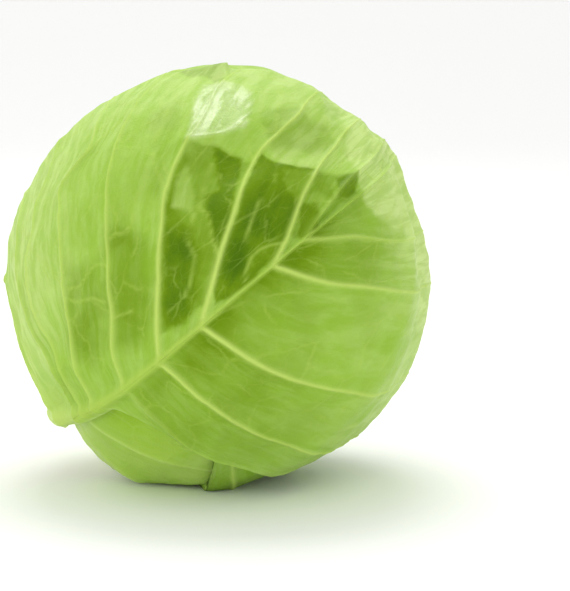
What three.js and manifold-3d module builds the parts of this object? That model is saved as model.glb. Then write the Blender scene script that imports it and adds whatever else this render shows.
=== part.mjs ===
// Whole head of green cabbage, lying on its side as it was set down: a cut stem with its core, the tight
// heart of inner leaves, and seven wrapper leaves that overlap round it, each its own thin shell with
// raised ribs.
// Millimetres, +Z up. The origin is the middle of the flat spot that the head rests on.
import * as THREE from 'three';
import { mergeVertices } from 'three/addons/utils/BufferGeometryUtils.js';
import Module from 'manifold-3d';

const wasm = await Module();
wasm.setup();

// Driving dimensions of the head
const HEAD_RADIUS = 90;
const REST_HEIGHT = 86;
const STEM_DIP = 42.7; // degrees that the stem points below the horizon
const STEM_HEADING = 9; // degrees that it is turned back from the left, -X
const LUMPS = [
  // height, wave direction and phase of the slow dents that keep the head from being a ball
  { height: 0.9, wave: [3.1, 0.0, 1.7], phase: 0.6 },
  { height: 0.7, wave: [-2.2, 4.3, 0.0], phase: 2.1 },
  { height: 0.5, wave: [0.0, 3.1, 5.7], phase: 4.0 },
];
const OUTLINE_LEAN = 8; // degrees that the outline seen by the viewer leans back from upright
const OUTLINE_AHEAD = 5; // degrees that it lies in front of the middle
const DENTS = [
  // around is in degrees along the outline, from the right over the top, and spread in degrees too
  { around: 21, height: -3.3, spread: 13 },
  { around: 36, height: 0.9, spread: 5 },
  { around: 45, height: -2.1, spread: 7 },
  { around: 64, height: -1.7, spread: 7 },
  { around: 78, height: 1.8, spread: 7 },
  { around: 93, height: 1.3, spread: 7 },
  { around: 117, height: -2.3, spread: 11 },
  { around: 141, height: 1.2, spread: 7 },
  { around: 167, height: 2.7, spread: 11 },
  { around: 206, height: -2.8, spread: 10 },
  { around: 231, height: -1.5, spread: 7 },
  { around: 244, height: 2.8, spread: 8 },
];

// Driving dimensions of the stem and its core
const STEM_RADIUS = 13.5;
const STEM_END = 87; // from the middle of the head to the cut
const CORE_END = 26; // from the middle of the head to the tip of the core
const STEM_GAP = 0.8;
const STEM_SIDES = 24;

// Driving dimensions that all wrapper leaves share
const BLADE = 0.8; // thickness between the ribs
const PITCH = 2.8; // from one leaf to the next over it
const MARGIN_FALL = 19; // over which a leaf comes down past the edge of one under it
const WIDE_FALL = 45; // the same, for the hollow that the heart keeps for its wrappers
const RIB_HEIGHT = 0.8;
const TENT_HEIGHT = 1.4; // how far an uncovered leaf stands up towards its ribs
const RIB_STEP = 0.011; // half the width of a side rib's foot, as a share of the ribbed midrib
const ROW_BOW = 0.13; // how far a side rib bows towards the stem, as a share of its length
const NOTCH_AT = 152; // degrees from the tip
const NOTCH_SPREAD = 24;
const FOOT_HALF_WIDTH = 12;
const FOOT_NECK = [8, 8]; // half width of the foot a little above its end (left, right)
const FOOT_FLARE = 4; // how much wider the foot is at its very end
const FOOT_LEFT = 0.3; // share of the midrib's height that is left at the very end of the foot
const MIDRIB_SHARE = 0.68; // of the leaf's length, where the midrib becomes as thin as a side rib
const DRAPE_REACH = 8; // a coarse facet has to clear what lies within this distance
const FLOOR_SKIN = 0.7; // least thickness left where a leaf is pressed flat

// The wrapper leaves, outermost first. turn is the midrib's angle round the head from the viewer's side,
// reach the half width, notch how deep the blade is cut in beside the stem, foot the share of the midrib
// that stays bare, neck the half width of that bare foot, all three as (left, right), flare how much wider
// it ends, lean how far its end lies to the left, bend how far the midrib curves aside, phase that of the
// edge's ruffles, and ribs the pairs of side ribs: where on the midrib a pair starts and the angles from the
// tip at the edge (left, right).
const LEAVES = [
  { turn: 0, reach: 142, notch: [16, 62], foot: [0.1, 0.46], neck: [6, 5.5], flare: 3, lean: 6.5,
    bend: 21, phase: 0.4,
    ribs: [[0.12, 134, 154], [0.225, 110, 140], [0.262, 94, 130], [0.302, 75, 120], [0.414, 61, 108],
      [0.528, 44.5, 90], [0.654, 25, 68], [0.85, 13.4, 40], [0.935, 5, 23]] },
  { turn: -136, reach: 134, notch: [26, 22], foot: [0.1, 0.1], bend: -8, phase: 1.9,
    ribs: pairedRibs(6, 1.3, 1.2) },
  { turn: 100, reach: 134, notch: [56, 26], foot: [0.24, 0.1], bend: 9, phase: 3.3,
    ribs: pairedRibs(6, 1.1, 1.35) },
  { turn: -20, reach: 128, notch: [20, -22], foot: [0.1, 0.05], bend: 7, phase: 4.6,
    ribs: pairedRibs(7, 1.3, 0.9) },
  { turn: 174, reach: 124, notch: [24, 20], foot: [0.1, 0.1], bend: -6, phase: 0.9,
    ribs: pairedRibs(5, 1.4, 1.2) },
  { turn: 56, reach: 118, notch: [20, 22], foot: [0.1, 0.1], bend: 6, phase: 2.5,
    ribs: pairedRibs(5, 1.3, 1.3) },
  { turn: -88, reach: 114, notch: [22, 20], foot: [0.1, 0.1], bend: -5, phase: 5.2,
    ribs: pairedRibs(5, 1.3, 1.3) },
];
const FINE_LEAVES = 4; // the outer leaves whose side ribs get flanks of their own
const RESTING_LEAF = 2; // the leaf that meets the surface
const LEAF_COLUMNS = 8; // facets from midrib to edge
const EDGE_FACET = 20; // widest facet along the edge

// Driving dimensions of the heart
const HEART_CLEARANCE = 1.0;
const HEART_STEP = 1.5;
const HEART_DETAIL = 8;
const HEART_LEAVES = [
  { turn: 20, reach: 104 },
  { turn: -118, reach: 98 },
  { turn: 150, reach: 92 },
];

// Directions. The head's axis runs from the stem to the crown, and turns are counted round it from the
// viewer.
const radians = THREE.MathUtils.degToRad;
const vector = (x, y, z) => new THREE.Vector3(x, y, z);
const HEAD_CENTRE = vector(0, 0, REST_HEIGHT);
const STEM = vector(
  -Math.cos(radians(STEM_DIP)) * Math.cos(radians(STEM_HEADING)),
  Math.cos(radians(STEM_DIP)) * Math.sin(radians(STEM_HEADING)),
  -Math.sin(radians(STEM_DIP)),
);
const CROWN = STEM.clone().negate();
const VIEWER = vector(0, -1, 0).projectOnPlane(STEM).normalize();
const ASIDE = CROWN.clone().cross(VIEWER);

// Smooth step from 0 at low to 1 at high.
const smooth = (value, low, high) => THREE.MathUtils.smoothstep(value, low, high);

// A leaf's own axes: its middle on the head, the way to its tip and the way to its right, with the arc from
// the stem to its foot worked out from the layer that it lies in.
function placeLeaf(leaf, order, count) {
  const layerRadius = HEAD_RADIUS - PITCH * 2 - PITCH * 0.6 * order;
  const footArc = HEAD_RADIUS * Math.asin((STEM_RADIUS + STEM_GAP) / layerRadius);
  const polar = (leaf.reach + footArc) / HEAD_RADIUS;
  const turn = radians(leaf.turn);
  const outward = VIEWER.clone().multiplyScalar(Math.cos(turn)).addScaledVector(ASIDE, Math.sin(turn));
  const middle = STEM.clone().multiplyScalar(Math.cos(polar)).addScaledVector(outward, Math.sin(polar));
  const tipward = STEM.clone().multiplyScalar(-Math.sin(polar)).addScaledVector(outward, Math.cos(polar));
  const right = tipward.clone().cross(middle);
  const shared = { neck: FOOT_NECK, flare: FOOT_FLARE, lean: 0 };
  return { ...shared, ...leaf, order, count, footArc, middle, tipward, right };
}
const leaves = LEAVES.map((leaf, order) => placeLeaf(leaf, order, LEAVES.length));
const heartLeaves = HEART_LEAVES.map((leaf, order) => placeLeaf(leaf, order, HEART_LEAVES.length));

// A leaf is drawn flat, x to its right and y to its tip, and wrapped on the head along arcs from its middle.
function flatToDirection(leaf, x, y) {
  const arc = Math.hypot(x, y) / HEAD_RADIUS;
  if (arc < 1e-9) return leaf.middle.clone();
  const side = leaf.right.clone().multiplyScalar(x).addScaledVector(leaf.tipward, y).normalize();
  return leaf.middle.clone().multiplyScalar(Math.cos(arc)).addScaledVector(side, Math.sin(arc));
}

function directionToFlat(leaf, direction) {
  const arc = HEAD_RADIUS * Math.acos(THREE.MathUtils.clamp(direction.dot(leaf.middle), -1, 1));
  const x = direction.dot(leaf.right);
  const y = direction.dot(leaf.tipward);
  const length = Math.max(Math.hypot(x, y), 1e-9);
  return { x: (arc * x) / length, y: (arc * y) / length, arc };
}

// The midrib: how far it runs aside, its half width and its height, from foot to tip.
const alongLeaf = (leaf, y) => THREE.MathUtils.clamp((y + leaf.reach) / (2 * leaf.reach), 0, 1);
function midribAside(leaf, y) {
  const share = alongLeaf(leaf, y);
  return leaf.bend * share * share * smooth(share, 0.35, 0.95);
}
// The end of the foot lies aside by the lean, which dies away along the midrib and across the blade.
function footLean(leaf, x, y) {
  const off = (alongLeaf(leaf, y) - 0.05) / 0.13;
  return -leaf.lean * Math.exp(-off * off - (x / 25) ** 2);
}
const midribHalfWidth = (share) => 0.6 + 3.2 * (1 - share) + 7 * Math.exp(-14 * share);
const midribHeight = (share) => 0.8 + 1.5 * (1 - share) + 2 * Math.exp(-8 * share);

// How far the blade reaches at an angle from its tip, cut in beside the stem. The two sides differ.
function bladeReach(leaf, side, degrees) {
  const notch = leaf.notch[side < 0 ? 0 : 1];
  const beside = (degrees - NOTCH_AT) / (NOTCH_SPREAD * (1 + notch / 200));
  return leaf.reach - notch * Math.exp(-beside * beside);
}

function reachTowards(leaf, flat) {
  const degrees = THREE.MathUtils.radToDeg(Math.atan2(Math.abs(flat.x), flat.y));
  const left = bladeReach(leaf, -1, degrees);
  const right = bladeReach(leaf, 1, degrees);
  return left + (right - left) * smooth(flat.x, -FOOT_HALF_WIDTH, FOOT_HALF_WIDTH);
}

// How much of its height a leaf gives to one over it: all within its reach, none past the fall of the edge.
function cover(leaf, flat) {
  const reach = reachTowards(leaf, flat);
  return 1 - smooth(flat.arc, reach + 3, reach + 3 + MARGIN_FALL);
}

function midribRidge(leaf, flat) {
  const share = alongLeaf(leaf, flat.y);
  const width = 1.6 * midribHalfWidth(share) + 4;
  const off = (flat.x - midribAside(leaf, flat.y)) / width;
  return midribHeight(share) * Math.exp(-off * off) * cover(leaf, flat);
}

// Height of all leaves from the given order inwards, over the heart, at one direction.
function stackHeight(firstOrder, direction) {
  let height = 0;
  for (const leaf of leaves.slice(firstOrder)) {
    const flat = directionToFlat(leaf, direction);
    height += PITCH * cover(leaf, flat) + midribRidge(leaf, flat);
  }
  return height;
}

// The same, taken as the most within reach of a coarse facet.
function drapedHeight(firstOrder, direction) {
  const aside = vector(0.3, 0.5, 0.8).cross(direction).normalize();
  const along = direction.clone().cross(aside);
  let most = stackHeight(firstOrder, direction);
  for (let i = 0; i < 6; i++) {
    const angle = (i * Math.PI) / 3;
    const near = direction
      .clone()
      .addScaledVector(aside, (DRAPE_REACH / HEAD_RADIUS) * Math.cos(angle))
      .addScaledVector(along, (DRAPE_REACH / HEAD_RADIUS) * Math.sin(angle))
      .normalize();
    most = Math.max(most, stackHeight(firstOrder, near));
  }
  return most;
}

// Direction of a place on the outline that the viewer sees.
function onOutline(degrees) {
  const up = vector(0, Math.sin(radians(OUTLINE_LEAN)), Math.cos(radians(OUTLINE_LEAN)));
  const ahead = vector(0, -up.z, up.y).multiplyScalar(Math.sin(radians(OUTLINE_AHEAD)));
  return vector(Math.cos(radians(degrees)), 0, 0).addScaledVector(up, Math.sin(radians(degrees)))
    .multiplyScalar(Math.cos(radians(OUTLINE_AHEAD))).add(ahead);
}
const dents = DENTS.map((dent) => ({ ...dent, middle: onOutline(dent.around) }));

// Height of the dents and swellings of the outline, each falling off with the square of the distance.
function dentHeight(direction) {
  let height = 0;
  for (const dent of dents) {
    const away = (1 - direction.dot(dent.middle)) / (1 - Math.cos(radians(dent.spread)));
    height += dent.height * Math.exp(-away);
  }
  return height;
}

// Radius that the heart keeps under its wrappers, so that the wrapped head comes out round.
function heartRadius(direction) {
  let wrapped = 0;
  for (const leaf of leaves) {
    const flat = directionToFlat(leaf, direction);
    const reach = reachTowards(leaf, flat);
    wrapped += 1 - smooth(flat.arc, reach - WIDE_FALL, reach + WIDE_FALL);
  }
  let lump = 0;
  for (const { height, wave, phase } of LUMPS) {
    lump += height * Math.sin(vector(...wave).dot(direction) + phase);
  }
  return HEAD_RADIUS - BLADE - PITCH * wrapped + lump + dentHeight(direction);
}

// How far the weight of the head presses it in where it rests, and the radius of the surface it rests on.
const floorRadius = (direction) => (direction.z < -0.2 ? REST_HEIGHT / -direction.z : Infinity);
function pressedIn(direction) {
  const floor = floorRadius(direction);
  if (floor > HEAD_RADIUS * 1.5) return 0;
  const outside = heartRadius(direction) + drapedHeight(0, direction) - PITCH + BLADE;
  return Math.max(0, outside - floor);
}

// Share of a leaf that no other leaf covers.
function uncovered(leaf, direction) {
  let share = 1;
  for (const over of leaves.slice(0, leaf.order)) {
    share *= 1 - cover(over, directionToFlat(over, direction));
  }
  return share;
}

// Evenly paired side ribs, crowding towards the foot of the midrib.
function pairedRibs(count, sweepLeft, sweepRight) {
  return Array.from({ length: count }, (_, i) => {
    const share = (i + 0.75) / (count + 0.4);
    return [share ** 1.5, 180 * (1 - share) ** sweepLeft, 180 * (1 - share) ** sweepRight];
  });
}

// The fan of a leaf. A row starts on the midrib and ends on the edge, row share 0 at the foot and 1 at the
// tip.
function edgeAngle(leaf, side, share) {
  const knots = [[0, 180, 180], ...leaf.ribs, [1, 0, 0]];
  const next = Math.max(1, knots.findIndex(([start]) => start >= share));
  const before = knots[next - 1];
  const after = knots[next];
  const part = (share - before[0]) / (after[0] - before[0]);
  const column = side < 0 ? 1 : 2;
  return before[column] + (after[column] - before[column]) * part;
}

function edgePoint(leaf, side, share, startY) {
  const index = side < 0 ? 0 : 1;
  const degrees = edgeAngle(leaf, side, share);
  const angle = radians(degrees);
  const ruffle = 2 * Math.sin(9 * angle * side + leaf.phase) + Math.sin(17 * angle * side + 2 * leaf.phase);
  const radius = bladeReach(leaf, side, degrees) + ruffle * smooth(share, 0, 0.1);
  const bare = 1 - smooth(share, leaf.foot[index] > 0.2 ? 0.7 * leaf.foot[index] : 0, leaf.foot[index]);
  const foot = leaf.neck[index] + leaf.flare * (1 - smooth(share, 0, 0.12));
  return {
    x: side * (radius * Math.sin(angle) * (1 - bare) + foot * bare),
    y: radius * Math.cos(angle) * (1 - bare) + (startY + 2) * bare,
  };
}

function rowPoint(leaf, side, share, column) {
  const startY = -leaf.reach + 2 * leaf.reach * MIDRIB_SHARE * share;
  const end = edgePoint(leaf, side, share, startY);
  const bow = ROW_BOW * smooth(share, 0.03, 0.25) * (1 - smooth(share, 0.9, 1));
  const bendX = end.x / 2 + bow * side * (end.y - startY);
  const bendY = (startY + end.y) / 2 - bow * Math.abs(end.x);
  const rest = 1 - column;
  const x = 2 * rest * column * bendX + column * column * end.x;
  const y = rest * rest * startY + 2 * rest * column * bendY + column * column * end.y;
  const length = Math.hypot(end.x, end.y - startY);
  return { x: x + midribAside(leaf, y) + footLean(leaf, x, y), y, length };
}

// Straight distance along the edge between two rows.
function edgeLength(leaf, side, from, to) {
  const a = rowPoint(leaf, side, from, 1);
  const b = rowPoint(leaf, side, to, 1);
  return Math.hypot(a.x - b.x, a.y - b.y);
}

// Rows of a leaf's fan: each side rib is a crest between two flanks, or a crest alone on the inner leaves,
// and the field between two ribs is split so that no facet is too wide at the edge.
function fanRows(leaf) {
  const flanked = leaf.order < FINE_LEAVES;
  const rows = [{ share: 0, crest: false, tent: 0 }];
  let last = [0, 180, 180];
  for (const rib of [...leaf.ribs, [1, 0, 0]]) {
    const widest = Math.max(...[-1, 1].map((side) => edgeLength(leaf, side, last[0], rib[0])));
    const parts = Math.max(2, Math.round(widest / EDGE_FACET));
    for (let i = 1; i < parts; i++) {
      const between = last[0] + ((rib[0] - last[0]) * i) / parts;
      rows.push({ share: between, crest: false, tent: 0 });
    }
    const ribbed = flanked && rib[0] < 1;
    if (ribbed) rows.push({ share: rib[0] - RIB_STEP, crest: false, tent: 0.8 });
    rows.push({ share: rib[0], crest: true, tent: 1 });
    if (ribbed) rows.push({ share: rib[0] + RIB_STEP, crest: false, tent: 0.8 });
    last = rib;
  }
  return rows;
}

// Share of the way from midrib to edge of each column: the first is the midrib's own flank.
function columnShare(leaf, column, row) {
  if (column === 0) return 0;
  const start = rowPoint(leaf, 1, row.share, 0);
  const flank = (1.4 * midribHalfWidth(alongLeaf(leaf, start.y))) / start.length;
  const first = Math.min(flank, 0.11);
  return first + ((1 - first) * (column - 1)) / (LEAF_COLUMNS - 1);
}

// Inner and outer radius of a leaf at one point of its fan.
function leafRadii(leaf, row, column, direction, flat) {
  const share = column === 0 ? 0 : columnShare(leaf, column, row);
  const tent = TENT_HEIGHT * row.tent * uncovered(leaf, direction) * (1 - share ** 4);
  const onMidrib = column === 0 || row.share === 1;
  const sideRib = row.crest ? RIB_HEIGHT * (1 - 0.6 * share) * smooth(share, 0, 0.05) : 0;
  const rounding = FOOT_LEFT + (1 - FOOT_LEFT) * smooth(row.share, -0.01, 0.05);
  const fading = 1 - 0.8 * smooth(share, 0.5, 1);
  const midrib = onMidrib ? midribHeight(alongLeaf(leaf, flat.y)) * rounding * fading : 0;
  const pressed = pressedIn(direction);
  const inner = heartRadius(direction) + drapedHeight(leaf.order + 1, direction) + tent - pressed;
  const floor = floorRadius(direction);
  const resting = leaf.order === RESTING_LEAF && pressed > 0.1;
  const outer = resting ? floor : Math.min(inner + BLADE + Math.max(sideRib, midrib), floor);
  return { inner: Math.min(inner, floor - FLOOR_SKIN), outer };
}

// A point kept clear of the stem, whatever leaf it belongs to.
function clearOfStem(point) {
  const local = point.clone().sub(HEAD_CENTRE);
  const along = local.dot(STEM);
  const across = local.clone().addScaledVector(STEM, -along);
  const least = STEM_RADIUS + STEM_GAP;
  if (along < CORE_END || across.length() >= least) return point;
  return HEAD_CENTRE.clone().addScaledVector(STEM, along).addScaledVector(across.normalize(), least);
}

// One wrapper leaf: an outer and an inner sheet over the same fan, joined all round the edge. Rows run from
// the right side of the foot over the tip to the left side, and both sides share the points on the midrib.
function leafGeometry(leaf) {
  const shares = fanRows(leaf);
  const tip = shares.length - 1;
  const lastRow = 2 * tip;
  const columns = LEAF_COLUMNS;
  const sheetSize = tip + 1 + (lastRow + 1) * columns;
  const positions = new Float32Array(2 * sheetSize * 3);
  const pointIndex = (row, column) =>
    column === 0 ? Math.min(row, lastRow - row) : tip + 1 + row * columns + column - 1;

  for (let row = 0; row <= lastRow; row++) {
    const side = row <= tip ? 1 : -1;
    const line = shares[Math.min(row, lastRow - row)];
    for (let column = 0; column <= columns; column++) {
      const flat = rowPoint(leaf, side, line.share, columnShare(leaf, column, line));
      const direction = flatToDirection(leaf, flat.x, flat.y);
      const { inner, outer } = leafRadii(leaf, line, column, direction, flat);
      const index = pointIndex(row, column);
      clearOfStem(HEAD_CENTRE.clone().addScaledVector(direction, outer)).toArray(positions, 3 * index);
      clearOfStem(HEAD_CENTRE.clone().addScaledVector(direction, inner)).toArray(
        positions,
        3 * (index + sheetSize),
      );
    }
  }

  const faces = [];
  for (let row = 0; row < lastRow; row++) {
    for (let column = 0; column < columns; column++) {
      const a = pointIndex(row, column);
      const b = pointIndex(row + 1, column);
      const c = pointIndex(row + 1, column + 1);
      const d = pointIndex(row, column + 1);
      faces.push(a, d, c, a, c, b);
      faces.push(a + sheetSize, c + sheetSize, d + sheetSize, a + sheetSize, b + sheetSize, c + sheetSize);
    }
  }
  const rim = [];
  for (let column = 0; column < columns; column++) rim.push(pointIndex(0, column));
  for (let row = 0; row < lastRow; row++) rim.push(pointIndex(row, columns));
  for (let column = columns; column > 0; column--) rim.push(pointIndex(lastRow, column));
  rim.forEach((from, i) => {
    const to = rim[(i + 1) % rim.length];
    faces.push(to, from, from + sheetSize, to, from + sheetSize, to + sheetSize);
  });

  const geometry = new THREE.BufferGeometry();
  geometry.setAttribute('position', new THREE.BufferAttribute(positions, 3));
  geometry.setIndex(faces);
  return geometry;
}

// The cut stem and its core, turned on the head's axis: a flared cut end, a neck and a blunt inner tip.
function stemGeometry(grow) {
  const profile = [
    [0, STEM_END + grow],
    [STEM_RADIUS - 1.2 + grow, STEM_END + grow],
    [STEM_RADIUS + grow, STEM_END - 1.2],
    [STEM_RADIUS + grow, STEM_END - 14],
    [STEM_RADIUS - 1 + grow, STEM_END - 30],
    [STEM_RADIUS - 4 + grow, CORE_END + 14],
    [STEM_RADIUS - 8 + grow, CORE_END + 3],
    [0, CORE_END - grow],
  ].map(([radius, height]) => new THREE.Vector2(radius, height));
  const geometry = new THREE.LatheGeometry(profile.reverse(), STEM_SIDES);
  const turn = new THREE.Quaternion().setFromUnitVectors(vector(0, 1, 0), STEM);
  geometry.applyQuaternion(turn);
  geometry.translate(...HEAD_CENTRE.toArray());
  return geometry;
}

function toSolid(geometry) {
  const bare = new THREE.BufferGeometry();
  bare.setAttribute('position', geometry.getAttribute('position').clone());
  bare.setIndex(geometry.index);
  const merged = mergeVertices(bare, 1e-3);
  return new wasm.Manifold(
    new wasm.Mesh({
      numProp: 3,
      vertProperties: merged.attributes.position.array,
      triVerts: new Uint32Array(merged.index.array),
    }),
  );
}

function toGeometry(solid) {
  const mesh = solid.getMesh();
  const geometry = new THREE.BufferGeometry();
  geometry.setAttribute('position', new THREE.BufferAttribute(new Float32Array(mesh.vertProperties), 3));
  geometry.setIndex(new THREE.BufferAttribute(new Uint32Array(mesh.triVerts), 1));
  return geometry;
}

// The heart: inner leaves folded too tight to come apart, fused, with their edges standing as steps, and
// hollow where the core runs up into it.
function heartGeometry() {
  const ball = mergeVertices(
    new THREE.IcosahedronGeometry(1, HEART_DETAIL).deleteAttribute('normal').deleteAttribute('uv'),
    1e-4,
  );
  const points = ball.getAttribute('position');
  for (let i = 0; i < points.count; i++) {
    const direction = vector().fromBufferAttribute(points, i).normalize();
    let stepsDown = 0;
    for (const leaf of heartLeaves) {
      stepsDown += smooth(directionToFlat(leaf, direction).arc, leaf.reach - 4, leaf.reach + 4);
    }
    const radius =
      heartRadius(direction) - pressedIn(direction) - HEART_CLEARANCE - HEART_STEP * stepsDown;
    const point = HEAD_CENTRE.clone().addScaledVector(direction, radius);
    points.setXYZ(i, point.x, point.y, point.z);
  }
  return toGeometry(toSolid(ball).subtract(toSolid(stemGeometry(STEM_GAP / 2))));
}

const outerGreen = new THREE.MeshStandardMaterial({ color: 0x9cc04a, roughness: 0.42, metalness: 0 });
const innerGreen = new THREE.MeshStandardMaterial({ color: 0xb6d46e, roughness: 0.45, metalness: 0 });
const heartPale = new THREE.MeshStandardMaterial({ color: 0xdfe8a4, roughness: 0.5, metalness: 0 });
const stemPale = new THREE.MeshStandardMaterial({ color: 0xe6e8c4, roughness: 0.6, metalness: 0 });

function namedMesh(name, geometry, material) {
  const mesh = new THREE.Mesh(geometry, material);
  mesh.name = name;
  return mesh;
}

const cabbage = new THREE.Group();
cabbage.add(namedMesh('stem', mergeVertices(
  stemGeometry(0).deleteAttribute('normal').deleteAttribute('uv'), 1e-3), stemPale));
cabbage.add(namedMesh('heart', heartGeometry(), heartPale));
for (const leaf of leaves) {
  const material = leaf.order < FINE_LEAVES ? outerGreen : innerGreen;
  cabbage.add(namedMesh(`wrapper_leaf_${leaf.order + 1}`, leafGeometry(leaf), material));
}

export default cabbage;
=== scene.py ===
import bpy
import numpy as np
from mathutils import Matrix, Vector


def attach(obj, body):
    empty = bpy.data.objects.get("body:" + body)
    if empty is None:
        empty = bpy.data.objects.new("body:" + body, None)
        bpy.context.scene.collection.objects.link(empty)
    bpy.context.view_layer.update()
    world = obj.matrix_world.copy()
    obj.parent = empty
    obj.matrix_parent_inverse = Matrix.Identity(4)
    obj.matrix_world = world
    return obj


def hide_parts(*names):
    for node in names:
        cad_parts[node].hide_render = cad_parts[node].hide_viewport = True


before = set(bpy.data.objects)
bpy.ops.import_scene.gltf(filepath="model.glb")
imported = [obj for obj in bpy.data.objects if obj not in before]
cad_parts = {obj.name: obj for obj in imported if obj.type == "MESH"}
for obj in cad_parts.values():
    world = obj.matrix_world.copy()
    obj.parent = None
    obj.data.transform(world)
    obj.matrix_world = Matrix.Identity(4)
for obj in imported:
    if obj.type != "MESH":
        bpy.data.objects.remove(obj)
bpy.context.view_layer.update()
print("frame loaded")

# The whole head, in millimetres and degrees. Everything below is worked out from these.
head = {
    "radius": 90.0,
    "restHeight": 86.0,
    "stemDip": 42.7,
    "stemHeading": 9.0,
    "lumps": [(0.9, (3.1, 0.0, 1.7), 0.6), (0.7, (-2.2, 4.3, 0.0), 2.1), (0.5, (0.0, 3.1, 5.7), 4.0)],
    "outlineLean": 8.0,
    "outlineAhead": 5.0,
    # swellings and dents of the outline seen from the front: (degrees from the right over the top, height,
    # spread)
    "dents": [(21, -3.3, 13), (36, 0.9, 5), (45, -2.1, 7), (64, -1.7, 7), (78, 1.8, 7), (93, 1.3, 7),
              (117, -2.3, 11), (141, 1.2, 7), (167, 2.7, 11), (206, -2.8, 10), (231, -1.5, 7),
              (244, 2.8, 8)],
}
stem = {"radius": 13.5, "end": 87.0, "coreEnd": 26.0, "gap": 0.8}
blade = {
    "thickness": 0.8,
    "edgeThickness": 0.45,
    "pitch": 2.8,
    "edgeFall": 19.0,
    "wideFall": 45.0,
    "ribHeight": 0.8,
    "tent": 1.4,
    "rowBow": 0.13,
    "notchAt": 152.0,
    "notchSpread": 24.0,
    "footHalfWidth": 12.0,
    "footNeck": (8.0, 8.0),
    "footFlare": 4.0,
    "midribShare": 0.68,
    "columns": 150,
    "innerEvery": 10,
}


# Side ribs in pairs that crowd towards the foot: (start on the midrib, left angle at the edge, right angle).
def pairedRibs(count, sweepLeft, sweepRight):
    share = (np.arange(count) + 0.75) / (count + 0.4)
    return np.stack([share**1.5, 180 * (1 - share) ** sweepLeft, 180 * (1 - share) ** sweepRight], axis=1)


# The wrapper leaves, outermost first, with rows as how finely each is laid out between two ribs.
leaves = [
    {"node": "wrapper_leaf_1", "turn": 0, "reach": 142, "notch": (16, 62), "foot": (0.1, 0.46), "bend": 21,
     "neck": (6.0, 5.5), "flare": 3.0, "lean": 6.5, "phase": 0.4, "rows": 26, "ribs": np.array([
         (0.12, 134, 154), (0.225, 110, 140), (0.262, 94, 130), (0.302, 75, 120), (0.414, 61, 108),
         (0.528, 44.5, 90), (0.654, 25, 68), (0.85, 13.4, 40), (0.935, 5, 23)])},
    {"node": "wrapper_leaf_2", "turn": -136, "reach": 134, "notch": (26, 22), "foot": (0.1, 0.1), "bend": -8,
     "phase": 1.9, "rows": 22, "ribs": pairedRibs(6, 1.3, 1.2)},
    {"node": "wrapper_leaf_3", "turn": 100, "reach": 134, "notch": (56, 26), "foot": (0.24, 0.1), "bend": 9,
     "phase": 3.3, "rows": 22, "ribs": pairedRibs(6, 1.1, 1.35)},
    {"node": "wrapper_leaf_4", "turn": -20, "reach": 128, "notch": (20, -22), "foot": (0.1, 0.05), "bend": 7,
     "phase": 4.6, "rows": 20, "ribs": pairedRibs(7, 1.3, 0.9)},
    {"node": "wrapper_leaf_5", "turn": 174, "reach": 124, "notch": (24, 20), "foot": (0.1, 0.1), "bend": -6,
     "phase": 0.9, "rows": 18, "ribs": pairedRibs(5, 1.4, 1.2)},
    {"node": "wrapper_leaf_6", "turn": 56, "reach": 118, "notch": (20, 22), "foot": (0.1, 0.1), "bend": 6,
     "phase": 2.5, "rows": 18, "ribs": pairedRibs(5, 1.3, 1.3)},
    {"node": "wrapper_leaf_7", "turn": -88, "reach": 114, "notch": (22, 20), "foot": (0.1, 0.1), "bend": -5,
     "phase": 5.2, "rows": 18, "ribs": pairedRibs(5, 1.3, 1.3)},
]
restingLeaf = 2
heartLeaves = [{"turn": 20, "reach": 104}, {"turn": -118, "reach": 98}, {"turn": 150, "reach": 92}]

dip, heading = np.radians(head["stemDip"]), np.radians(head["stemHeading"])
stemWay = np.array([-np.cos(dip) * np.cos(heading), np.cos(dip) * np.sin(heading), -np.sin(dip)])
viewerWay = np.array([0.0, -1.0, 0.0]) + stemWay * stemWay[1]
viewerWay /= np.linalg.norm(viewerWay)
asideWay = np.cross(-stemWay, viewerWay)
headCentre = np.array([0.0, 0.0, head["restHeight"]])


# 0 below low, 1 above high, and an S-curve between.
def smooth(value, low, high):
    t = np.clip((value - low) / (high - low), 0.0, 1.0)
    return t * t * (3 - 2 * t)


# A leaf's axes: its middle lies its own reach and the stem's width up from the stem, at its turn round the
# head.
def placeLeaf(leaf, order):
    layer = head["radius"] - 2 * blade["pitch"] - 0.6 * blade["pitch"] * order
    footArc = head["radius"] * np.arcsin((stem["radius"] + stem["gap"]) / layer)
    polar = (leaf["reach"] + footArc) / head["radius"]
    turn = np.radians(leaf["turn"])
    outward = viewerWay * np.cos(turn) + asideWay * np.sin(turn)
    leaf["order"] = order
    leaf["middle"] = stemWay * np.cos(polar) + outward * np.sin(polar)
    leaf["tipward"] = -stemWay * np.sin(polar) + outward * np.cos(polar)
    leaf["right"] = np.cross(leaf["tipward"], leaf["middle"])


for group in (leaves, heartLeaves):
    for order, leaf in enumerate(group):
        placeLeaf(leaf, order)


# Wraps the flat leaf on the head: arc length from the middle is kept, so a point turns by arc over radius.
def flatToWay(leaf, x, y):
    length = np.maximum(np.hypot(x, y), 1e-9)
    side = (x / length)[..., None] * leaf["right"] + (y / length)[..., None] * leaf["tipward"]
    arc = (length / head["radius"])[..., None]
    return np.cos(arc) * leaf["middle"] + np.sin(arc) * side


def wayToFlat(leaf, way):
    arc = head["radius"] * np.arccos(np.clip(way @ leaf["middle"], -1, 1))
    x, y = way @ leaf["right"], way @ leaf["tipward"]
    length = np.maximum(np.hypot(x, y), 1e-9)
    return arc * x / length, arc * y / length, arc


def alongLeaf(leaf, y):
    return np.clip((y + leaf["reach"]) / (2 * leaf["reach"]), 0, 1)


def midribAside(leaf, y):
    share = alongLeaf(leaf, y)
    return leaf["bend"] * share**2 * smooth(share, 0.35, 0.95)


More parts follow.
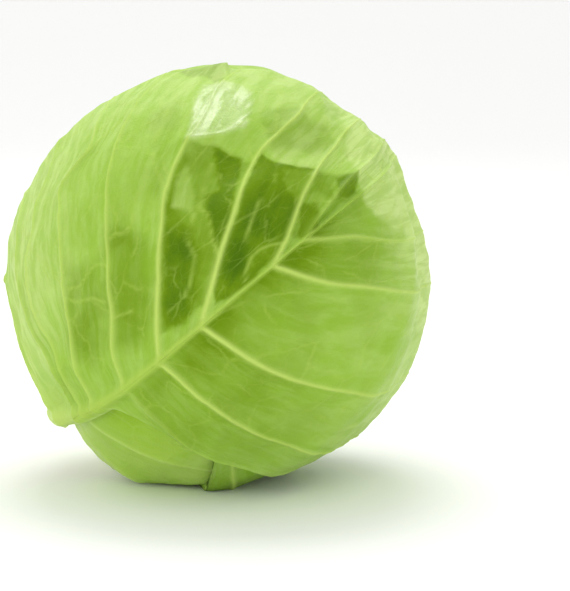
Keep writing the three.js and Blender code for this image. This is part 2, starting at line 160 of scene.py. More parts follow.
# The end of the foot lies aside by the lean, which dies away along the midrib and across the blade.
def footLean(leaf, x, y):
    off = (alongLeaf(leaf, y) - 0.05) / 0.13
    return -leaf.get("lean", 0) * np.exp(-(off**2) - (x / 25) ** 2)


def midribHalfWidth(share):
    return 0.6 + 3.2 * (1 - share) + 7 * np.exp(-14 * share)


def midribHeight(share):
    return 0.8 + 1.5 * (1 - share) + 2.0 * np.exp(-8 * share)


# Reach of the blade at an angle from its tip: the full reach less a bell-shaped cut beside the stem.
def bladeReach(leaf, side, degrees):
    notch = leaf["notch"][0 if side < 0 else 1]
    beside = (degrees - blade["notchAt"]) / (blade["notchSpread"] * (1 + notch / 200))
    return leaf["reach"] - notch * np.exp(-(beside**2))


def reachTowards(leaf, x, y):
    degrees = np.degrees(np.arctan2(np.abs(x), y))
    left, right = bladeReach(leaf, -1, degrees), bladeReach(leaf, 1, degrees)
    return left + (right - left) * smooth(x, -blade["footHalfWidth"], blade["footHalfWidth"])


def cover(leaf, x, y, arc):
    reach = reachTowards(leaf, x, y)
    return 1 - smooth(arc, reach + 3, reach + 3 + blade["edgeFall"])


def midribRidge(leaf, x, y, covered):
    share = alongLeaf(leaf, y)
    off = (x - midribAside(leaf, y)) / (1.6 * midribHalfWidth(share) + 4)
    return midribHeight(share) * np.exp(-(off**2)) * covered


# Height of the leaves from one order inwards: each gives its pitch where it covers, and its midrib's ridge.
def stackHeight(firstOrder, way):
    height = np.zeros(way.shape[:-1])
    for leaf in leaves[firstOrder:]:
        x, y, arc = wayToFlat(leaf, way)
        covered = cover(leaf, x, y, arc)
        height += blade["pitch"] * covered + midribRidge(leaf, x, y, covered)
    return height


# Height of the outline's dents: each is its height times exp(-(1 - cos away) / (1 - cos spread)).
def dentHeight(way):
    lean, ahead = np.radians(head["outlineLean"]), np.radians(head["outlineAhead"])
    up, front = np.array([0, np.sin(lean), np.cos(lean)]), np.array([0, -np.cos(lean), np.sin(lean)])
    total = np.zeros(way.shape[:-1])
    for around, height, spread in head["dents"]:
        turn = np.radians(around)
        onRing = np.cos(turn) * np.array([1, 0, 0]) + np.sin(turn) * up
        middle = np.cos(ahead) * onRing + np.sin(ahead) * front
        total += height * np.exp(-(1 - way @ middle) / (1 - np.cos(np.radians(spread))))
    return total


# Radius under the wrappers: the head less a softened count of the leaves over it, plus waves and dents.
def heartRadius(way):
    wrapped = np.zeros(way.shape[:-1])
    for leaf in leaves:
        x, y, arc = wayToFlat(leaf, way)
        reach = reachTowards(leaf, x, y)
        wrapped += 1 - smooth(arc, reach - blade["wideFall"], reach + blade["wideFall"])
    lump = sum(height * np.sin(way @ np.array(wave) + phase) for height, wave, phase in head["lumps"])
    return head["radius"] - blade["thickness"] - blade["pitch"] * wrapped + lump + dentHeight(way)


def floorRadius(way):
    down = np.where(way[..., 2] < -0.2, -way[..., 2], 1.0)
    return np.where(way[..., 2] < -0.2, head["restHeight"] / down, 1e6)


def pressedIn(way):
    outside = heartRadius(way) + stackHeight(0, way) - blade["pitch"] + blade["thickness"]
    return np.maximum(0, outside - floorRadius(way))


def uncovered(leaf, way):
    share = np.ones(way.shape[:-1])
    for over in leaves[: leaf["order"]]:
        share *= 1 - cover(over, *wayToFlat(over, way))
    return share


# Where a row meets the edge: reach and ruffles at its angle, or close beside the midrib where the foot is
# bare.
def edgePoint(leaf, side, share, startY):
    index = 0 if side < 0 else 1
    starts = np.concatenate([[0], leaf["ribs"][:, 0], [1]])
    angles = np.concatenate([[180], leaf["ribs"][:, 1 + index], [0]])
    degrees = np.interp(share, starts, angles)
    angle = np.radians(degrees)
    ruffle = 2 * np.sin(9 * angle * side + leaf["phase"]) + np.sin(17 * angle * side + 2 * leaf["phase"])
    reach = bladeReach(leaf, side, degrees) + ruffle * smooth(share, 0, 0.1)
    foot = leaf["foot"][index]
    bare = 1 - smooth(share, 0.7 * foot if foot > 0.2 else 0, foot)
    neck = leaf.get("neck", blade["footNeck"])[index]
    beside = neck + leaf.get("flare", blade["footFlare"]) * (1 - smooth(share, 0, 0.12))
    x = side * (reach * np.sin(angle) * (1 - bare) + beside * bare)
    return x, reach * np.cos(angle) * (1 - bare) + (startY + 2) * bare


# A row runs from midrib to edge on a quadratic curve that bows towards the stem.
def rowPoints(leaf, side, share, column):
    startY = -leaf["reach"] + 2 * leaf["reach"] * blade["midribShare"] * share
    endX, endY = edgePoint(leaf, side, share, startY)
    bow = blade["rowBow"] * smooth(share, 0.03, 0.25) * (1 - smooth(share, 0.9, 1))
    bendX = endX / 2 + bow * side * (endY - startY)
    bendY = (startY + endY) / 2 - bow * np.abs(endX)
    rest = 1 - column
    x = 2 * rest * column * bendX + column**2 * endX
    y = rest**2 * startY + 2 * rest * column * bendY + column**2 * endY
    return x + midribAside(leaf, y), y, np.hypot(endX, endY - startY)


# Shares of the rows: each gap between two ribs is filled evenly less a sine, so that rows crowd at the ribs.
def rowShares(leaf):
    knots = np.concatenate([[0], leaf["ribs"][:, 0], [1]])
    t = np.arange(leaf["rows"]) / leaf["rows"]
    t = t - 0.7 * np.sin(2 * np.pi * t) / (2 * np.pi)
    parts = [a + (b - a) * t for a, b in zip(knots[:-1], knots[1:])]
    return np.concatenate(parts + [[1.0]])


def clearOfStem(points):
    along = points @ stemWay
    across = points - along[..., None] * stemWay
    off = np.linalg.norm(across, axis=-1)
    least = stem["radius"] + stem["gap"]
    scale = np.where((along > stem["coreEnd"]) & (off < least), least / np.maximum(off, 1e-6), 1.0)
    return along[..., None] * stemWay + across * scale[..., None]


# Mesh from corner arrays: points in millimetres, faces as a list of index arrays, each with one corner
# count.
def buildMesh(name, points, faces, attributes, maps=None):
    mesh = bpy.data.meshes.new(name)
    mesh.vertices.add(len(points))
    mesh.vertices.foreach_set("co", (points * 0.001).astype(np.float32).ravel())
    corners = np.concatenate([part.ravel() for part in faces])
    sizes = np.concatenate([np.full(len(part), part.shape[1]) for part in faces])
    mesh.loops.add(len(corners))
    mesh.loops.foreach_set("vertex_index", corners.astype(np.int32))
    mesh.polygons.add(len(sizes))
    mesh.polygons.foreach_set("loop_start", np.concatenate([[0], np.cumsum(sizes)[:-1]]).astype(np.int32))
    mesh.update(calc_edges=True)
    mesh.polygons.foreach_set("use_smooth", np.ones(len(sizes), dtype=bool))
    for key, values in attributes.items():
        layer = mesh.attributes.new(key, "FLOAT", "POINT")
        layer.data.foreach_set("value", np.asarray(values, dtype=np.float32).ravel())
    for key, plane in (maps or {}).items():
        layer = mesh.uv_layers.new(name=key)
        layer.data.foreach_set("uv", plane[corners].astype(np.float32).ravel())
    mesh.validate()
    piece = bpy.data.objects.new(name, mesh)
    bpy.context.scene.collection.objects.link(piece)
    return piece


# Slow ripples between the fine veins: a few crossed sine waves over the flat leaf, in millimetres.
def ripples(x, y, phase):
    a = np.sin(0.21 * x + 0.13 * y + phase) * np.sin(0.11 * x - 0.19 * y + 2 * phase)
    b = np.sin(0.43 * x - 0.21 * y + 1.7 * phase) * np.sin(0.19 * x + 0.37 * y + phase)
    c = np.sin(0.83 * x + 0.39 * y + 0.7 * phase) * np.sin(0.47 * x - 0.91 * y + 2.3 * phase)
    return 0.5 * a + 0.35 * b + 0.15 * c


leafRelief = {
    "ribWidthAtMidrib": 1.25,
    "ribWidthAtEdge": 0.55,
    "ripple": 0.45,
    "edgeDroop": 1.2,
    "edgeBand": 9.0,
    "footPaleReach": 36.0,
    "footLeft": 0.12,
    "sway": 1.6,
    "branchWidth": 0.65,
    "branchHeight": 0.28,
}

# The photograph's view of the head: the picture in pixels, the camera in millimetres and degrees.
view = {
    "width": 570,
    "height": 591,
    "sensor": 36.0,
    "lens": 157.3,
    "shift": (0.1127, -0.0298),
    "away": 1100.0,
    "elevation": 8.0,
}


# Puts points of the picture, traced and counted right and down from its corner, on the flat leaf:
# each view ray meets a ball round the head's middle, whose radius closes in step by step on the surface
# there.
def fromPicture(leaf, points, above):
    right, down = np.array(points, float).T
    lift = np.radians(view["elevation"])
    ahead, upward = np.array([0, np.cos(lift), -np.sin(lift)]), np.array([0, np.sin(lift), np.cos(lift)])
    scale = view["sensor"] / view["lens"]
    aside = ((right - view["width"] / 2) / view["height"] + view["shift"][0]) * scale
    rise = ((view["height"] / 2 - down) / view["height"] + view["shift"][1]) * scale
    ray = ahead + aside[:, None] * np.array([1, 0, 0]) + rise[:, None] * upward
    ray /= np.linalg.norm(ray, axis=1)[:, None]
    along = view["away"] * (ray @ ahead)
    offAxis = np.sqrt(view["away"] ** 2 - along**2)
    radius = np.full(len(right), head["radius"])
    for _ in range(12):
        depth = along - np.sqrt(np.maximum(radius**2 - offAxis**2, 0))
        way = ray * depth[:, None] - ahead * view["away"]
        way /= np.linalg.norm(way, axis=1)[:, None]
        radius = (radius + heartRadius(way) + stackHeight(1, way) + above) / 2
    return np.stack(wayToFlat(leaf, way)[:2], axis=1)


# The front leaf's own marks. tracedRibs are its left ribs by number from the foot, as points of the picture.
# branches are thin veins between the ribs, as points on the flat leaf.
frontLeaf = {
    "tracedRibs": {
        2: [(60, 390), (52, 370), (38, 345), (25, 320), (18, 300), (17, 275), (10, 255)],
        3: [(68, 395), (65, 380), (58, 362), (50, 345), (40, 330), (32, 312), (27, 300), (24, 285),
            (22, 270), (26, 252), (30, 235), (33, 215), (33, 198), (42, 180), (52, 163), (60, 152)],
        4: [(79, 400), (78, 385), (76, 365), (71, 340), (66, 315), (61, 295), (59, 275), (59, 250),
            (59, 225), (58, 200), (57, 180), (64, 176), (80, 158), (98, 137), (118, 120)],
        5: [(104, 375), (110, 356), (112, 340), (113, 320), (112, 305), (109, 285), (107, 265), (106, 240),
            (105, 225), (103, 205), (105, 190), (108, 172), (110, 155), (118, 138), (128, 128), (136, 120)],
        6: [(151, 340), (156, 325), (158, 310), (158, 280), (158, 260), (160, 240), (161, 220), (162, 200),
            (166, 182), (173, 164), (180, 152), (186, 146), (193, 140), (196, 135), (200, 120), (206, 108),
            (213, 97), (217, 87), (219, 80)],
        7: [(196, 318), (204, 308), (209, 296), (213, 284), (217, 268), (221, 252), (226, 240), (231, 225),
            (237, 204), (240, 193), (245, 178), (252, 162), (260, 150), (270, 140), (281, 130), (292, 120),
            (300, 113), (306, 105), (310, 96)],
        8: [(270, 262), (280, 250), (288, 240), (292, 228), (297, 212), (303, 196), (310, 182), (318, 168),
            (326, 157), (334, 148), (341, 140), (346, 130)],
    },
    "swayLimit": 12.0,
    "branches": [
        [(-53, -20), (-53, -17), (-51, -15), (-50, -13), (-52, -9), (-56, -3), (-59, 0)],
        [(-44, -28), (-47, -30), (-50, -33), (-50, -36), (-49, -41), (-48, -46), (-51, -52)],
        [(-54, 13), (-60, 15), (-66, 17), (-70, 22), (-75, 28), (-79, 33), (-81, 38), (-85, 48), (-90, 57)],
        [(-46, 35), (-42, 29), (-40, 24), (-37, 21), (-35, 17), (-34, 14), (-32, 9), (-28, 4), (-21, 2),
         (-18, -2), (-15, -7), (-13, -12)],
        [(-35, 17), (-30, 17), (-25, 14), (-21, 11), (-15, 9)],
        [(-59, 36), (-56, 40), (-53, 45), (-51, 51), (-50, 55), (-48, 58)],
        [(-49, 56), (-43, 53), (-38, 50), (-34, 48)],
        [(-1, 10), (-4, 14), (-6, 18), (-6, 23), (-4, 28), (-1, 32)],
        [(-20, 38), (-19, 33), (-16, 27), (-12, 21)],
        [(-38, 67), (-45, 77), (-50, 87), (-57, 100)],
        [(-52, 53), (-60, 62), (-65, 71), (-70, 80)],
        [(11, 78), (14, 91), (13, 101), (11, 113)],
        [(4, 90), (10, 90), (15, 93), (20, 100)],
        [(-105, -63), (-92, -60), (-83, -59), (-71, -56), (-61, -54), (-52, -53)],
        [(-98, -23), (-95, -19), (-96, -7), (-98, 6), (-98, 19)],
        [(-47, -54), (-43, -51), (-39, -43), (-33, -38)],
        [(-26, -40), (-24, -35), (-23, -32)],
    ],
    # folds where the leaf turns over towards the crown: points on the flat leaf, height and spread
    "folds": [
        {"points": [(-59, 34), (-56, 40), (-53, 45), (-51, 51), (-49, 57)], "height": 2.0, "spread": 15},
        {"points": [(-61, 33), (-57, 39), (-52, 47), (-47, 56)], "height": 0.7, "spread": 2.5},
        {"points": [(-49, 57), (-38, 56), (-26, 56), (-12, 62), (0, 70)], "height": 1.3, "spread": 13},
        {"points": [(-39, 110), (-30, 101), (-20, 95), (-14, 91), (-7, 87), (1, 82)], "height": 1.2,
         "spread": 9},
        {"points": [(-62, 34), (-70, 45), (-80, 56), (-88, 66)], "height": 0.9, "spread": 7},
        {"points": [(-48, 60), (-56, 72), (-64, 84)], "height": 0.8, "spread": 6},
    ],
    "flap": {"from": (-110, 71), "to": (-89, 89), "height": 3.0, "long": 28, "steep": 1.2, "reach": 7.5},
    # outline of the waxy patch, which is glossier and carries a painted highlight in its colour
    "shine": [(-61, 33), (-68, 42), (-77, 53), (-83, 64), (-80, 75), (-71, 80), (-62, 78), (-55, 70),
              (-47, 56),
              (-52, 47), (-58, 36)],
}


# The foot of a leaf is drawn in towards the stem, and its end leans to one side.
def drawFoot(leaf, x, y):
    drawnIn = np.exp(-(((y + leaf["reach"]) / 14) ** 2))
    x, y = x * (1 - 0.12 * drawnIn), y + 8 * drawnIn
    return x + footLean(leaf, x, y), y


# How far a rib lies beside its traced line, at ten steps from the midrib to the edge: where the rib's normal
# crosses the line. Steps whose normal misses the line are filled in between, down to 0 at both ends.
def towardsTrace(leaf, side, rib, trace):
    column = np.linspace(0, 1, 101)
    x, y, length = rowPoints(leaf, side, np.full(101, leaf["ribs"][rib - 1, 0]), column)
    x, y = drawFoot(leaf, x, y)
    alongX, alongY = np.gradient(x), np.gradient(y)
    normal = side * np.stack([alongY, -alongX], axis=-1) / np.hypot(alongX, alongY)[:, None]
    steps = np.arange(10, 100, 10)
    nx, ny = normal[steps, 0, None], normal[steps, 1, None]
    line = fromPicture(leaf, trace, blade["thickness"] + blade["ribHeight"] + blade["tent"])
    gapX, gapY = line[:-1, 0] - x[steps, None], line[:-1, 1] - y[steps, None]
    runX, runY = np.diff(line[:, 0]), np.diff(line[:, 1])
    turned = nx * runY - ny * runX
    away = (gapX * runY - gapY * runX) / turned
    place = (gapX * ny - gapY * nx) / turned
    away = np.where((np.abs(place - 0.5) < 0.65) & (np.abs(away) < frontLeaf["swayLimit"]), away, 1e3)
    away = away[np.arange(len(steps)), np.argmin(np.abs(away), axis=1)]
    known = np.abs(away) < 1e2
    return np.interp(np.linspace(0, 1, 11), np.r_[0, column[steps][known], 1], np.r_[0, away[known], 0])


def placeSway(leaf, side, number, column):
    count = len(leaf["ribs"]) + 2
    steps = np.linspace(0, 1, 11)
    rib = np.arange(count)[:, None]
    slow = np.sin(5.1 * steps + 2.4 * rib + leaf["phase"] + side)
    quick = np.sin(11.3 * steps + 1.7 * rib * side)
    table = leafRelief["sway"] * (slow + 0.6 * quick) * smooth(steps, 0, 0.25) * (1 - smooth(steps, 0.8, 1))
    table[0] = table[-1] = 0
    if leaf["order"] == 0 and side < 0:
        for rib, trace in frontLeaf["tracedRibs"].items():
            table[rib] = towardsTrace(leaf, side, rib, trace)
    fine = np.linspace(0, 1, 101)
    rows = np.stack([np.interp(fine, steps, row) for row in table])
    kernel = np.hanning(13) / np.hanning(13).sum()
    rows = np.stack([np.convolve(np.pad(row, 6, mode="edge"), kernel, mode="valid") for row in rows])
    low = np.clip(np.floor(number).astype(int), 0, count - 2)
    part = number - low
    place = column * 100
    left = np.clip(np.floor(place).astype(int), 0, 99)
    along = place - left

    def at(rib):
        return rows[rib, left] * (1 - along) + rows[rib, left + 1] * along

    return at(low) * (1 - part) + at(low + 1) * part


# Distance from every point to a line of straight stretches.
def offLine(x, y, line):
    near = np.full(x.shape, 1e9)
    for (ax, ay), (bx, by) in zip(line[:-1], line[1:]):
        dx, dy = bx - ax, by - ay
        t = np.clip(((x - ax) * dx + (y - ay) * dy) / (dx * dx + dy * dy), 0, 1)
        near = np.minimum(near, np.hypot(x - ax - t * dx, y - ay - t * dy))
    return near


# One side of a leaf's fan, as flat points, the distance to the ribs and what the colours need. Rows are
# moved along their own normal by the sway of the ribs on both sides of them.
def leafHalf(leaf, side, shares, columns):
    share, column = np.meshgrid(shares, columns, indexing="ij")
    x, y, length = rowPoints(leaf, side, share, column)
    starts = np.concatenate([[0], leaf["ribs"][:, 0], [1]])
    number = np.interp(share, starts, np.arange(len(starts)))
    alongX, alongY = np.gradient(x, columns, axis=1), np.gradient(y, columns, axis=1)
    speed = np.maximum(np.hypot(alongX, alongY), 1e-6)
    foot = leaf["foot"][0 if side < 0 else 1]
    grown = smooth(share, 0.8 * foot, 1.1 * foot) if foot > 0.2 else smooth(share, 0.02, 0.06)
    sway = placeSway(leaf, side, number, column) * grown
    x, y = drawFoot(leaf, x, y)
    x, y = x + side * alongY / speed * sway, y - side * alongX / speed * sway
    acrossX, acrossY = np.gradient(x, shares, axis=0), np.gradient(y, shares, axis=0)
    alongX, alongY = np.gradient(x, columns, axis=1), np.gradient(y, columns, axis=1)
    spacing = np.abs(acrossX * alongY - acrossY * alongX) / np.maximum(np.hypot(alongX, alongY), 1e-6)
    nearest = np.clip(np.rint(number), 1, len(starts) - 2).astype(int)
    ribOff = np.abs(share - starts[nearest]) * spacing
    return {"side": side * np.ones_like(x), "x": x, "y": y, "share": share, "column": column,
            "length": length, "number": number, "ribOff": ribOff, "grown": grown}


def joinHalves(right, left):
    return {key: np.concatenate([right[key], left[key][-2::-1]], axis=0) for key in right}


# Cusp towards each rib: 1 on it, falling on a curve to 0 in the middle of the field.
def tentShape(number):
    off = np.abs(number - np.rint(number))
    cusp = np.clip(1 - off / 0.42, 0, 1) ** 1.6
    return cusp * smooth(number, 0.4, 1.0)


# Raised or sunk marks of the front leaf: folds as ridges with straight flanks, and the flap at its edge.
def frontRelief(g):
    x, y = g["x"], g["y"]
    height = np.zeros_like(x)
    for fold in frontLeaf["folds"]:
        off = offLine(x, y, fold["points"])
        height += fold["height"] * np.clip(1 - off / fold["spread"], 0, 1) ** 1.35
    return height + flapShape(g) * frontLeaf["flap"]["height"]


# The flap climbs slowly along its line and ends in a steep step; to both sides of the line it dies away.
def flapShape(g):
    flap = frontLeaf["flap"]
    start, end = np.array(flap["from"]), np.array(flap["to"])
    along = (end - start) / np.linalg.norm(end - start)
    dx, dy = g["x"] - end[0], g["y"] - end[1]
    run, off = dx * along[0] + dy * along[1], dy * along[0] - dx * along[1]
    climb = smooth(run, -flap["long"], 0) ** 1.5 * (1 - smooth(run, 0, flap["steep"]))
    return climb * np.exp(-((off / flap["reach"]) ** 2))


def leafPiece(leaf):
    shares = rowShares(leaf)
    count = blade["columns"]
    columns = (np.arange(count + 1) / count) ** 1.2
    g = joinHalves(leafHalf(leaf, 1, shares, columns), leafHalf(leaf, -1, shares, columns))
    x, y, column = g["x"], g["y"], g["column"]
    way = flatToWay(leaf, x, y)
    share = alongLeaf(leaf, y)
    towardsEdge = smooth(column * g["length"], g["length"] - leafRelief["edgeBand"], g["length"])
    towardsEdge = towardsEdge * smooth(g["length"], 15, 30)

    ribWidth = leafRelief["ribWidthAtMidrib"] * (1 - column) + leafRelief["ribWidthAtEdge"] * column
    ribShape = np.exp(-((g["ribOff"] / ribWidth) ** 2)) * g["grown"] * (1 - 0.9 * towardsEdge)
    rib = blade["ribHeight"] * (1 - 0.65 * column) * ribShape
    midribOff = np.abs(x - midribAside(leaf, y) - footLean(leaf, x * 0, y)) / midribHalfWidth(share)
    midribFade = 1 - 0.85 * smooth(y, 0.3 * leaf["reach"], leaf["reach"])
    slimming = 1 - 0.35 * smooth(share, 0.3, 0.6) + 0.25 * np.exp(-(((share - 0.16) / 0.08) ** 2))
    slimming = slimming - 0.22 * np.exp(-((share / 0.07) ** 2))
    midribOff = midribOff / slimming
    midribShape = 1 - smooth(midribOff, 0.2, 1.5)
    footOff = np.clip((y + leaf["reach"] - 8) / 14.0, 0, 1)
    footRound = leafRelief["footLeft"] + (1 - leafRelief["footLeft"]) * np.sqrt(1 - (1 - footOff) ** 2)
    midrib = midribHeight(share) * midribShape * midribFade * footRound
    relief = (rib**3 + midrib**3) ** (1 / 3)

    branch = np.zeros_like(x)
    if leaf["order"] == 0:
        for line in frontLeaf["branches"]:
            branch = np.maximum(branch, np.exp(-((offLine(x, y, line) / leafRelief["branchWidth"]) ** 2)))
        relief = np.maximum(relief, leafRelief["branchHeight"] * branch)

    bare = uncovered(leaf, way)
    tent = blade["tent"] * tentShape(g["number"]) * (1 - column**4) * bare
    ripple = leafRelief["ripple"] * ripples(x, y, leaf["phase"]) * bare * smooth(column, 0.02, 0.12)
    thickness = blade["thickness"] + (blade["edgeThickness"] - blade["thickness"]) * towardsEdge
    pressed, floor = pressedIn(way), floorRadius(way)
    inner = heartRadius(way) + stackHeight(leaf["order"] + 1, way) + tent + ripple - pressed
    if leaf["order"] == 0:
        inner = inner + frontRelief(g)
    inner = inner - leafRelief["edgeDroop"] * towardsEdge
    outer = np.minimum(inner + thickness + relief, floor)
    if leaf["order"] == restingLeaf:
        nearEdge = smooth(column * g["length"], g["length"] - 22, g["length"] - 8)
        resting = smooth(pressed, 0.05, 0.5) * (1 - nearEdge)
        outer = outer + (floor - outer) * np.where(floor < 1e5, resting, 0)
    inner = np.minimum(inner, floor - 0.7)

    last = len(x) - 1
    tip = len(shares) - 1
    row, col = np.meshgrid(np.arange(last + 1), np.arange(count + 1), indexing="ij")
    outerIndex = np.where(col == 0, np.minimum(row, last - row), tip + 1 + row * count + col - 1)
    coarse = np.arange(0, count + 1, blade["innerEvery"])
    steps = len(coarse) - 1
    rowC, colC = np.meshgrid(np.arange(last + 1), np.arange(steps + 1), indexing="ij")
    base = tip + 1 + (last + 1) * count
    innerIndex = base + np.where(colC == 0, np.minimum(rowC, last - rowC), tip + 1 + rowC * steps + colC - 1)
    total = base + tip + 1 + (last + 1) * steps

    points = np.zeros((total, 3))
    points[outerIndex] = headCentre + clearOfStem(way * outer[..., None])
    points[innerIndex] = headCentre + clearOfStem(way * inner[..., None])[:, coarse]

    def spread(values):
        full = np.zeros((total,) + values.shape[2:])
        full[outerIndex] = values
        full[innerIndex] = values[:, coarse]
        return full

    a, b = outerIndex[:-1, :-1], outerIndex[1:, :-1]
    c, d = outerIndex[1:, 1:], outerIndex[:-1, 1:]
    outerFaces = np.stack([a, d, c, b], axis=-1).reshape(-1, 4)
    a, b = innerIndex[:-1, :-1], innerIndex[1:, :-1]
    c, d = innerIndex[1:, 1:], innerIndex[:-1, 1:]
    innerFaces = np.stack([a, b, c, d], axis=-1).reshape(-1, 4)
    outerRim, innerRim = outerIndex[:, -1], innerIndex[:, -1]
    rimFaces = np.stack([outerRim[1:], outerRim[:-1], innerRim[:-1], innerRim[1:]], axis=-1)
    every = blade["innerEvery"]
    span = np.arange(steps)[:, None] * every + np.arange(every + 1)[None, :]
    right, left = outerIndex[0][span][:, ::-1], outerIndex[last][span]
    footRight = np.concatenate([right, innerIndex[0, :-1, None], innerIndex[0, 1:, None]], axis=1)
    footLeft = np.concatenate([left, innerIndex[last, 1:, None], innerIndex[last, :-1, None]], axis=1)

    footDistance = np.hypot(x, y + leaf["reach"])
    attributes = {
        "rib": spread(np.exp(-((g["ribOff"] / (1.05 * ribWidth)) ** 2)) * g["grown"] * ribStrength(leaf, g)),
        "midrib": spread(
            (1 - smooth(midribOff, 0.15, 1.35)) * midribFade * (1 - 0.6 * smooth(share, 0.3, 0.75))),
        "footPale": spread(np.exp(-((footDistance / leafRelief["footPaleReach"]) ** 2))),
        "edge": spread(towardsEdge),
        "deep": spread(deepTone(leaf, g)),
        "pale": spread(paleTone(leaf, g)),
        "branch": spread(branch * (1 - 0.5 * column)),
        "shine": spread(shineShape(leaf, g)),
    }
    maps = {
        "leafPlane": spread(np.stack([x / 100 + 3.7 * leaf["order"],
                                      y / 100 + 5.3 * leaf["order"]], axis=-1)),
        "ribPlane": spread(np.stack([column * g["length"] / 100, g["side"] * (g["number"] * 0.22 + 4)], -1)),
    }
    faces = [outerFaces, innerFaces, rimFaces, footRight, footLeft]
    piece = buildMesh("fine_" + leaf["node"], points, faces, attributes, maps)
    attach(piece, "root")
    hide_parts(leaf["node"])
    return piece


# Green of the front leaf left of its midrib, laid on in turn: outline on the flat leaf, depth of green,
# softness of the rim in millimetres. The last patch, over the flap at the crown, is painted shade.
frontPatches = [
    ([(-56, -20), (-54, -11), (-39, -7), (-20, -22), (-10, -37), (-11, -47), (-18, -50), (-33, -37)], 0.48,
     14),
    ([(-58, -46), (-49, -31), (-34, -38), (-18, -53), (-15, -67), (-27, -65), (-46, -61)], 0.38, 14),
    ([(-60, 33), (-51, 41), (-43, 44), (-38, 45), (-34, 47), (-31, 40), (-26, 30), (-22, 22), (-17, 12),
      (-10, 1), (-5, -9), (-7, -23), (-8, -31), (-19, -21), (-30, -9), (-45, 4), (-50, 12), (-57, 24)], 0.37,
      2),
    ([(-60, 32), (-55, 25), (-51, 16), (-46, 8), (-35, -3), (-18, -19), (-8, -28), (-6, -19), (-10, -11),
      (-22, -1), (-28, 4), (-35, 8), (-45, 10), (-52, 21), (-55, 29)], 0.55, 4),
    ([(-39, 1), (-30, 7), (-19, 1), (-12, -7), (-6, -16), (-6, -24), (-10, -26), (-24, -14)], 0.82, 8),
    ([(-50, 41), (-44, 44), (-39, 46), (-35, 41), (-32, 35), (-29, 27), (-31, 23), (-35, 28), (-42, 34)],
     0.75, 2.5),
    ([(-37, 22), (-35, 28), (-33, 34), (-27, 29), (-22, 21), (-18, 12), (-21, 12), (-28, 16), (-32, 18)],
     0.75, 3),
    ([(-52, 21), (-53, 26), (-48, 24), (-39, 18), (-34, 13), (-39, 12), (-44, 9), (-49, 15)], 0.16, 3),
    ([(-35, 54), (-31, 54), (-27, 55), (-21, 60), (-13, 68), (-11, 56), (-6, 47), (-2, 36), (0, 23), (1, 10),
      (-2, -5), (-8, -2), (-16, 11), (-21, 23), (-28, 35), (-32, 44)], 0.68, 1.5),
    ([(-23, 56), (-13, 67), (-10, 57), (-7, 50), (-15, 50), (-20, 51)], 0.45, 3),
    ([(-26, 33), (-24, 42), (-18, 46), (-10, 47), (-4, 40), (-3, 32), (-7, 25), (-11, 23), (-17, 21),
      (-22, 27)],
     0.85, 8),
    ([(-16, 17), (-13, 22), (-9, 20), (-4, 14), (-3, 9), (-4, 5), (-10, 8), (-13, 12)], 1.05, 6),
    ([(-7, 21), (-5, 28), (0, 31), (1, 24), (-1, 17), (-3, 13), (-6, 17)], 0.58, 3),
    ([(-2, 36), (-6, 47), (-11, 56), (-13, 68), (-5, 74), (2, 82), (8, 75), (6, 62), (5, 47), (3, 38)], 0.3,
     3),
    ([(-7, 51), (-3, 57), (1, 53), (5, 47), (4, 41), (3, 38), (0, 40), (-4, 46)], 0.56, 2),
    ([(-12, 67), (-5, 73), (-2, 66), (1, 62), (-5, 61), (-8, 55), (-11, 60)], 0.45, 2),
    ([(-4, 72), (2, 82), (8, 75), (5, 67), (3, 64)], 0.6, 3),
    ([(-51, 69), (-45, 81), (-39, 88), (-30, 88), (-24, 95), (-11, 89), (-14, 81), (-25, 72), (-33, 60),
      (-42, 63)], 0.24, 5),
    ([(-85, 30), (-88, 46), (-83, 50), (-69, 36), (-61, 23), (-51, 7), (-57, 8), (-70, 20)], 0.16, 6),
    # painted shade: darkens the flap at the crown
    ([(-112, 69), (-106, 83), (-97, 96), (-88, 88), (-80, 77), (-81, 70), (-91, 73), (-96, 66)], 0.5, 3),
]
# The same for its pale places.
frontPale = [
    ([(-33, 125), (-9, 93), (0, 83), (4, 83), (12, 76), (23, 77), (36, 82), (46, 96), (45, 114), (19, 123),
      (6, 126), (-21, 135)], 0.85, 4),
    ([(-36, 56), (-32, 80), (-16, 104), (-6, 82), (-11, 69), (-27, 56)], 0.35, 3),
    ([(-52, 21), (-53, 26), (-48, 24), (-39, 18), (-34, 13), (-39, 12), (-44, 9), (-49, 15)], 0.3, 2.5),
]


# Distance to an outline on the flat leaf, above 0 inside it and below 0 outside.
def insideBy(x, y, outline):
    closed = outline + outline[:1]
    inside = np.zeros(x.shape, dtype=bool)
    for (ax, ay), (bx, by) in zip(closed[:-1], closed[1:]):
        if ay != by:
            inside ^= ((ay > y) != (by > y)) & (x < (bx - ax) * (y - ay) / (by - ay) + ax)
    return offLine(x, y, closed) * np.where(inside, 1, -1)


# Lays patches over a tone one by one: within its wavering outline each brings the tone to its own level.
def layPatches(g, tone, patches):
    waver = 0.9 * ripples(1.7 * g["x"], 1.7 * g["y"], 1.0)
    for outline, level, rim in patches:
        share = smooth(insideBy(g["x"], g["y"], outline) + waver, -rim / 2, rim / 2)
        tone = tone + (level - tone) * share
    return tone


# Depth of green: each field between two ribs fades from the midrib outwards by its own amount, and the front
# leaf has its patches on top.
def deepTone(leaf, g):
    number, column = g["number"], g["column"]
    own = 0.5 + 0.5 * np.sin(2.3 * np.floor(number) + leaf["phase"] + g["side"])
    fading = (1 - smooth(column, 0.2, 0.65)) * smooth(column, 0.0, 0.06)
    if leaf["order"] > 0:
        return (0.35 + 0.45 * own) * fading
    besideMidrib = 0.6 * np.exp(-g["column"] / 0.1) * smooth(alongLeaf(leaf, g["y"]), 0.25, 0.5)
    return layPatches(g, ((0.12 + 0.2 * own) * fading + besideMidrib) * (g["side"] > 0), frontPatches)
